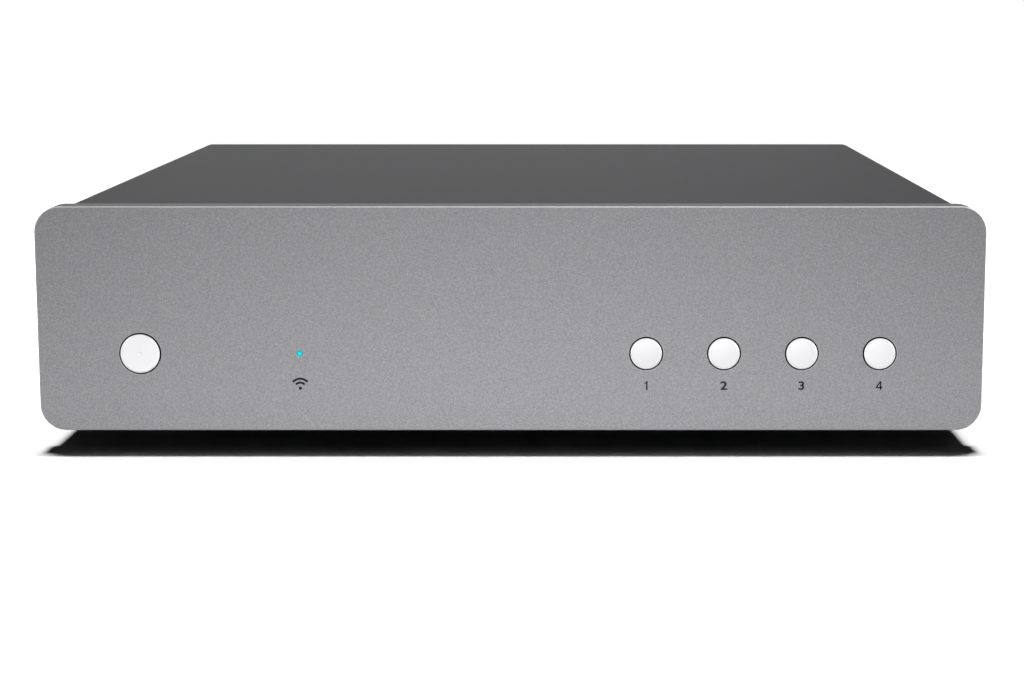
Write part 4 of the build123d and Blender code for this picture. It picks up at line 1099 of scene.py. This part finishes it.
@dataclass
class AerialJack:
    """Threaded barrel with its nut, its insulator and its contact."""

    x: float
    name: str
    base: Pair = (4.002 * MM, 2.0 * MM)  # radius and thickness
    crest: float = 3.175 * MM
    root: float = 2.85 * MM
    pitch: float = 0.7056 * MM
    groove: Triple = (0.35, 0.45, 0.85)  # its corners, in pitches
    lap: float = 0.3 * MM  # of the thread inside the nut
    runout: float = 0.4 * MM
    bore: float = 2.25 * MM
    edge: float = 0.15 * MM
    bore_depth: float = 3.0 * MM
    insulator: Triple = (2.23 * MM, -0.2 * MM, 0.5 * MM)  # radius, and ends from the bore's floor
    contact: Pair = (0.65 * MM, 0.3 * MM)  # radii outside and inside
    sunk: Pair = (0.6 * MM, 1.6 * MM)  # its end and its hole's floor, from the tip
    nut_corner: float = 4.6 * MM
    nut_thick: float = 2.2 * MM
    nut_edge: float = 0.25 * MM
    clearance: float = 0.03 * MM

    def build(self) -> None:
        """Makes the barrel, its insulator, its contact and its nut."""
        low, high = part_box("aerial_sockets")
        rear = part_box("aerial_nuts")[0].y
        floor = high.y - self.bore_depth
        outer, hole = self.contact
        top, bottom = (high.y - sunk for sunk in self.sunk)
        contact = [(0.0, floor), (outer, floor), (outer, top), (hole, top), (hole, bottom), (0.0, bottom)]
        insulator = rod(self.insulator[0], *(floor + end for end in self.insulator[1:]))
        barrel = self.barrel(low.y, rear + self.nut_thick - self.lap, high.y)
        for part, profile, steps, finish, slot, node in (
            ("barrel", barrel, 48, GOLD, "gold", "aerial_sockets"),
            ("insulator", insulator, 40, WHITE_PLASTIC, "insulator", ""),
            ("contact", contact, 24, GOLD, "gold", ""),
        ):
            shape = Shape().turned(profile, (self.x, 0, AERIAL_Z), steps=steps).closed()
            shape.piece(f"{self.name}_{part}", finish, slot, replaces=node)
        nut = Shape()
        for radius, sides in ((self.nut_corner, 6), (self.crest + self.clearance, 48)):
            nut.ring((self.x, rear, AERIAL_Z), radius, Axis.BACK, sides)
        nut.plate(self.nut_thick).closed()
        nut.bevel(nut.rims(lambda a, b: (a - b).length > 2 * MM), self.nut_edge)
        nut.piece(f"{self.name}_nut", GOLD, "gold", replaces="aerial_nuts")

    def barrel(self, start: float, thread: float, tip: float) -> Profile:
        """Profile of the barrel.

        Args:
            start: Its inner end.
            thread: Where its thread starts.
            tip: Its outer end.

        Returns:
            The profile.
        """
        radius, thick = self.base
        points = [(0.0, start), (radius, start), (radius, start + thick), (self.crest, start + thick)]
        points.append((self.crest, thread))
        while thread + self.pitch < tip - self.runout:
            down, up, end = (thread + part * self.pitch for part in self.groove)
            thread += self.pitch
            points += [(self.root, down), (self.root, up), (self.crest, end), (self.crest, thread)]
        return points + [
            (self.root, tip), (self.bore + self.edge, tip), (self.bore, tip - self.edge),
            (self.bore, tip - self.bore_depth), (0.0, tip - self.bore_depth),
        ]


@dataclass
class SocketCopy:
    """Moulded or folded piece whose packed form only needs its edges eased."""

    node: str
    ease: float
    finish: Finish = SOCKET_PLASTIC
    slot: str = "socket_plastic"
    body: str = Body.CASE.value
    merge: float = 0.002 * MM
    flat: float = math.radians(0.6)  # faces that turn by less are one

    def build(self) -> Object:
        """Eases a merged copy of the node and dresses it.

        Returns:
            The piece.
        """
        shape = Shape()
        mesh = shape.mesh
        mesh.from_mesh(bpy.data.objects[self.node].data)
        bmesh.ops.remove_doubles(mesh, verts=mesh.verts[:], dist=self.merge)
        bmesh.ops.dissolve_limit(
            mesh, angle_limit=self.flat, verts=mesh.verts[:], edges=mesh.edges[:],
            use_dissolve_boundaries=False,
        )
        shape.bevel(shape.rims(lambda a, b: True), self.ease)
        return shape.piece(f"{self.node}_eased", self.finish, self.slot, self.body, self.node)


@dataclass
class UsbPort:
    """Folded shell with rounded corners, and a tongue with four contacts."""

    corner: float = 0.8 * MM
    wall: float = 0.35 * MM
    pitch: float = 2.3 * MM
    contact: Triple = (1.1 * MM, 6.5 * MM, 0.12 * MM)
    contact_edge: float = 0.03 * MM
    setback: float = 0.4 * MM
    lift: float = 0.1 * MM

    def build(self) -> None:
        """Makes the shell, the tongue and its contacts."""
        low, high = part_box("usb_shell")
        shape = Shape()
        for wall in (0.0, self.wall):
            start, end = (low.x + wall, low.z + wall), (high.x - wall, high.z - wall)
            shape.outline(start, end, high.y, self.corner - wall, 6)
        shape.plate(low.y - high.y).closed()
        shape.piece("usb_folded_shell", NICKEL, "nickel", replaces="usb_shell")
        SocketCopy("usb_tongue", 0.1 * MM).build()
        wide, long, thick = self.contact
        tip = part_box("usb_tongue")[1].y - self.setback
        under = (low.z + high.z) / 2 + self.lift
        contacts = Shape()
        for i in range(4):
            x = (low.x + high.x) / 2 + (i - 1.5) * self.pitch
            near = (x - wide / 2, tip - long, under - thick)
            contacts.block(near, (x + wide / 2, tip, under), self.contact_edge)
        contacts.closed().piece("usb_contacts", GOLD, "gold")


@dataclass
class NetworkPort:
    """Shielded network socket with two small signal windows over its mouth."""

    window: Triple = (2.6 * MM, 0.6 * MM, 1.5 * MM)
    inset: float = 1.0 * MM
    drop: float = 1.35 * MM
    proud: float = 0.05 * MM
    ease: float = 0.15 * MM
    wall: float = 0.5 * MM

    def build(self) -> None:
        """Eases the housing, black inside its mouth, and adds the windows."""
        shell = SocketCopy("ethernet_socket", 0.12 * MM, NICKEL, "nickel").build()
        shell.data.materials.append(SOCKET_PLASTIC.material())
        low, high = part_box("ethernet_socket")
        for face in shell.data.polygons:
            x, y, z = face.center
            across = low.x + self.wall < x < high.x - self.wall
            upright = low.z + self.wall < z < high.z - self.wall
            if across and upright and y < high.y - self.ease:
                face.material_index = 1
        wide, deep, tall = self.window
        away = (high.x - low.x) / 2 - self.inset - wide / 2
        for side, name, finish in ((-1, "left", GREEN_WINDOW), (1, "right", AMBER_WINDOW)):
            x, z = (low.x + high.x) / 2 + side * away, high.z - self.drop
            near = (x - wide / 2, high.y - deep, z - tall / 2)
            shape = Shape().block(near, (x + wide / 2, high.y + self.proud, z + tall / 2), self.ease)
            shape.closed().piece(f"network_lamp_{name}", finish, "socket_plastic")


@dataclass
class OpticalPort:
    """Square optical socket, its flap and the red light behind it."""

    depth: float = 12.9 * MM
    lift: float = 0.05 * MM
    lens: Profile = ((0.0, 0.0), (1.0 * MM, 0.0), (0.8 * MM, 0.4 * MM), (0.0, 0.6 * MM))

    def build(self) -> None:
        """Eases the socket and its flap and lights the bore."""
        SocketCopy("optical_socket", 0.12 * MM).build()
        SocketCopy("optical_shutter", 0.06 * MM, body=Body.FLAP.value).build()
        low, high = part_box("optical_socket")
        centre = ((low.x + high.x) / 2, high.y - self.depth, (low.z + high.z) / 2 + self.lift)
        light = Shape().turned(self.lens, centre, steps=24)
        light.closed().piece("optical_light", RED_LIGHT, "lamp_lens")


@dataclass
class MainsInlet:
    """Two-pole inlet and its pins, rounded at their tips."""

    pin: float = 1.2 * MM
    spacing: float = 8.6 * MM
    tip: Pair = (0.7 * MM, 0.25 * MM)

    def build(self) -> None:
        """Eases the body and turns the pins."""
        SocketCopy("mains_inlet", 0.25 * MM).build()
        low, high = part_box("mains_pins")
        middle, length = (low + high) / 2, high.y - low.y
        profile = [
            (0.0, 0.0), (self.pin, 0.0), (self.pin, length - self.tip[0]),
            (self.pin * 0.8, length - self.tip[1]), (self.pin * 0.4, length), (0.0, length),
        ]
        shape = Shape()
        for side in (-0.5, 0.5):
            shape.turned(profile, (middle.x + side * self.spacing, low.y, middle.z), steps=32)
        shape.closed().piece("inlet_pins", NICKEL, "nickel", replaces="mains_pins")


@dataclass
class CrossScrew:
    """Pan head screw with a cross recess."""

    place: Vector
    axis: Axis
    length: float
    shank: float = 1.45 * MM
    head: float = 2.755 * MM
    height: float = 1.74 * MM
    dome: Profile = ((0.62, 1.0), (0.86, 0.9), (0.98, 0.6), (1.0, 0.3), (1.0, 0.0))
    bars: Pair = (0.5, 0.14)  # half length and half width of the cross, in head radii

    def add_to(self, shape: Shape) -> None:
        """Adds the screw to a shape.

        Args:
            shape: The shape of all the screws of one kind.
        """
        profile = [(r * self.head, -h * self.height) for r, h in self.dome]
        profile += [(self.shank, 0.0), (self.shank, self.length), (0.0, self.length)]
        shape.turned(profile, self.place, self.axis, 32)
        along = self.axis.vector
        top = self.place - along * self.height
        shape.ring(top, profile[0][0], self.axis, 32)
        side = along.orthogonal().normalized() * self.head
        up = along.cross(side)
        long, short = self.bars
        corner, cross = [(short, long), (short, short), (long, short)], []
        for _ in range(4):
            cross += corner
            corner = [(b, -a) for a, b in corner]
        verts, _ = shape.chain(top + side * a + up * b for a, b in cross)
        wires = [e for e in shape.mesh.edges if e.is_wire]
        bmesh.ops.triangle_fill(shape.mesh, use_beauty=True, edges=wires, normal=-along)
        deep = [shape.mesh.verts.new(v.co + along * self.shank) for v in verts]
        for i, vert in enumerate(verts):
            shape.mesh.faces.new((verts[i - 1], vert, deep[i], deep[i - 1]))
        shape.mesh.faces.new(deep)


@dataclass
class Screws:
    """The case's and the feet's screws."""

    cover: Pair = (98.5 * MM, 60 * MM)  # across and along
    tray: Pair = (60 * MM, 6.8 * MM)  # across, and in from the rear panel
    front: Pair = (92 * MM, 47 * MM)  # across and up
    guide: Triple = (-70 * MM, -14 * MM, 94.6 * MM)  # across
    bar: float = 3 * MM  # thickness of the guide bar's flange

    def build(self) -> None:
        """Makes the screws of each kind as one piece."""
        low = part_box("top_cover")[0].z
        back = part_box("front_panel")[1].y + SHEET
        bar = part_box("button_guide")[0].y + self.bar
        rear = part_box("phono_sleeves")[0].y
        (wide, along), (tray, inset), (across, high) = self.cover, self.tray, self.front
        case = [(x, y, low, Axis.UP, 3.6) for x in (-wide, wide) for y in (-along, along)]
        case += [(x, rear - inset, low + SHEET, Axis.UP, 4) for x in (-tray, tray)]
        case += [(x, back, high, Axis.FRONT, 4.8) for x in (-across, across)]
        case += [(x, bar, CONTROL_Z, Axis.FRONT, 7.8) for x in self.guide]
        case.append(((PHONO_X[1] + PHONO_X[2]) / 2, rear, PHONO_Z, Axis.FRONT, 7.8))
        feet = [(x, y, FOOT_WELL, Axis.UP, 6.65) for x, y in FOOT_PLACES]
        for name, places in (("case", case), ("foot", feet)):
            shape = Shape()
            for x, y, z, axis, length in places:
                CrossScrew(Vector((x, y, z)), axis, length * MM).add_to(shape)
            shape.closed().piece(
                f"{name}_cross_screws", DARK_STEEL, "dark_screws", replaces=f"{name}_screws"
            )


def dress_nodes(record: dict) -> None:
    """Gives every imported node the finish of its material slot.

    Args:
        record: The part's record.
    """
    for entry in record["subparts"]:
        materials = bpy.data.objects[entry["node"]].data.materials
        materials.clear()
        materials.append(SLOT_FINISHES[entry["material_slot"]].material())
    LOG.info("%d nodes dressed", len(record["subparts"]))


class Lights(Enum):
    """What a lamp lights, with the floor's part in its light."""

    FLOOR = "INCLUDE"
    OBJECT = "EXCLUDE"


@dataclass(frozen=True)
class SoftBox:
    """Rectangular soft box."""

    name: str
    place: Triple
    power: float
    aim: Triple = (0.0, 0.0, 0.03)
    lights: Lights = Lights.OBJECT
    size: Pair = (1.0, 1.0)

    def light(self) -> Light:
        """Makes the rectangular light.

        Returns:
            The light.
        """
        light = bpy.data.lights.new(self.name, "AREA")
        light.shape = "RECTANGLE"
        light.size, light.size_y = self.size
        return light

    def build(self, receivers: Collection) -> None:
        """Hangs the lamp.

        Args:
            receivers: The collection that says what it lights.
        """
        light = self.light()
        light.energy = self.power
        lamp = bpy.data.objects.new(self.name, light)
        turn = (Vector(self.aim) - Vector(self.place)).to_track_quat("-Z", "Y")
        lamp.location = self.place
        lamp.rotation_euler = turn.to_euler()
        lamp.visible_camera = False
        lamp.light_linking.receiver_collection = receivers
        bpy.context.scene.collection.objects.link(lamp)


@dataclass(frozen=True)
class Spot(SoftBox):
    """Spot whose light fades from its middle to its rim."""

    cone: float = math.radians(40)
    bulb: float = 0.08

    def light(self) -> Light:
        """Makes the fading spot.

        Returns:
            The light.
        """
        light = bpy.data.lights.new(self.name, "SPOT")
        light.spot_size = self.cone
        light.spot_blend = 1.0
        light.shadow_soft_size = self.bulb
        return light


@dataclass
class Studio:
    """White floor, white surroundings, a lamp for the floor and lamps for the object."""

    floor_size: float = 30.0
    near: float = 0.30  # radius inside which the floor is only lit
    far: float = 0.60  # radius beyond which it is all white
    seen_white: float = 0.55  # the floor's colour for the camera,
    mirrored_white: float = 0.26  # in the object's gloss
    bounced_white: float = 0.16  # and for the light that it throws back
    lamps: tuple[SoftBox, ...] = (
        SoftBox("floor_strip", (0.0, 0.03, 1.2), 70.0, (0, 0, 0), Lights.FLOOR, (0.62, 0.1)),
        Spot("front_spot", (0.0, -1.0, 0.2), 41.0, (0.005, -0.0955, -0.2)),
        SoftBox("top_box", (0.4, 0.1, 1.2), 4.2),
        SoftBox("rear_box", (-0.15, 1.25, 0.6), 6.0),
        SoftBox("right_box", (1.25, -0.1, 0.5), 7.0),
        SoftBox("left_box", (-1.25, -0.1, 0.5), 4.0),
    )

    def build(self) -> None:
        """Makes the floor, the surroundings and the lamps."""
        data = bpy.data.meshes.new("studio_floor")
        mesh = bmesh.new()
        bmesh.ops.create_grid(mesh, x_segments=1, y_segments=1, size=self.floor_size / 2)
        mesh.to_mesh(data)
        mesh.free()
        data.materials.append(self.floor_white())
        ground = bpy.data.objects.new("studio_floor", data)
        bpy.context.scene.collection.objects.link(ground)
        ground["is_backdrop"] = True
        self.surround()
        for lights in Lights:
            receivers = bpy.data.collections.new(f"lamps_{lights.name.lower()}")
            receivers.objects.link(ground)
            receivers.collection_objects[0].light_linking.link_state = lights.value
            for lamp in self.lamps:
                if lamp.lights is lights:
                    lamp.build(receivers)
        bpy.context.scene.view_settings.view_transform = "Standard"

    def floor_white(self) -> Material:
        """Makes the floor's material: lit near the object, to show its shadow, and white beyond.

        Returns:
            The material.
        """
        made = bpy.data.materials.new("floor_white")
        graph = Graph(made)
        rays = graph.add("LightPath").outputs
        camera, glossy = rays["Is Camera Ray"], rays["Is Glossy Ray"]
        level = graph.spread(camera, self.mirrored_white, self.seen_white)
        inputs = {"Factor": rays["Is Diffuse Ray"], "A": level, "B": self.bounced_white}
        colour = graph.add("Mix", inputs, data_type="FLOAT").outputs["Result"]
        graph.surface({"Base Color": colour, "Roughness": 0.9, "Specular IOR Level": 0.0})
        distance = graph.add("VectorMath", {0: graph.place()}, operation="LENGTH")
        away = graph.spread(distance.outputs["Value"], 0, 1, self.near, self.far)
        seen = graph.add("Math", {0: camera, 1: glossy}, operation="MAXIMUM").outputs[0]
        both = graph.add("Math", {0: away, 1: seen}, operation="MULTIPLY").outputs[0]
        white = graph.add("Emission").outputs["Emission"]
        mix = graph.add("MixShader", {0: both, 1: graph.shader.outputs["BSDF"], 2: white})
        graph.feed(graph.tree.nodes["Material Output"], {"Surface": mix.outputs[0]})
        return made

    def surround(self) -> None:
        """Makes the surroundings white where they are seen, and no light of their own."""
        world = bpy.data.worlds.new("studio")
        bpy.context.scene.world = world
        graph = Graph(world, "Background")
        bounced = graph.add("LightPath").outputs["Is Diffuse Ray"]
        seen = graph.add("Math", {0: 1.0, 1: bounced}, operation="SUBTRACT")
        graph.surface({"Color": (1, 1, 1, 1), "Strength": seen.outputs[0]})


@dataclass
class PhotoCamera:
    """Camera at the photograph's viewing angle."""

    place: Triple = (0.01224, -0.50272, 0.10485)
    pitch: float = 7.16  # degrees down
    lens: float = 64.09
    film: float = 36.0  # its width in millimetres, like the lens
    near: float = 0.01
    shift: Pair = (-0.0514, -0.1191)

    def build(self) -> None:
        """Makes the camera and puts it in use."""
        data = bpy.data.cameras.new("photo_camera")
        data.lens = self.lens
        data.sensor_width = self.film
        data.shift_x, data.shift_y = self.shift
        data.clip_start = self.near
        camera = bpy.data.objects.new("photo_camera", data)
        camera.location = self.place
        camera.rotation_euler = (math.radians(90 - self.pitch), 0, 0)
        bpy.context.scene.collection.objects.link(camera)
        bpy.context.scene.camera = camera


def sizes(when: str) -> dict[str, list[list[float]]]:
    """The whole object's box as plain numbers, under a name."""
    return {when: [list(corner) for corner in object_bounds()]}


def main() -> None:
    """Builds every sub-assembly in order and notes the boxes before and after."""
    logging.basicConfig(level=logging.INFO, format="%(name)s: %(message)s")
    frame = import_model()
    boxes = sizes("solids")
    dress_nodes(frame["record"])
    FrontPanel().build()
    PushButton("power_button", Body.POWER_KEY.value, POWER_X, pip=True).build()
    for number, (x, tone) in enumerate(zip(PRESET_X, PRESET_TONES), 1):
        body = f"{Body.PRESET_KEY.value}{number}"
        PushButton(f"preset_button_{number}", body, x, tone=tone).build()
    for part in (StatusLamp(), PanelMarks(), Cover(), Feet()):
        part.build()
    cores = (("digital", CORE_ORANGE), ("line_right", CORE_RED), ("line_left", CORE_WHITE))
    for x, (name, core) in zip(PHONO_X, cores):
        PhonoJack(x, name, core).build()
    for number, x in enumerate(AERIAL_X, 1):
        AerialJack(x, f"aerial_{number}").build()
    for part in (MainsInlet(), UsbPort(), NetworkPort(), OpticalPort(), Screws(), Studio(), PhotoCamera()):
        part.build()
    boxes.update(sizes("dressed"))


if __name__ == "__main__":
    main()
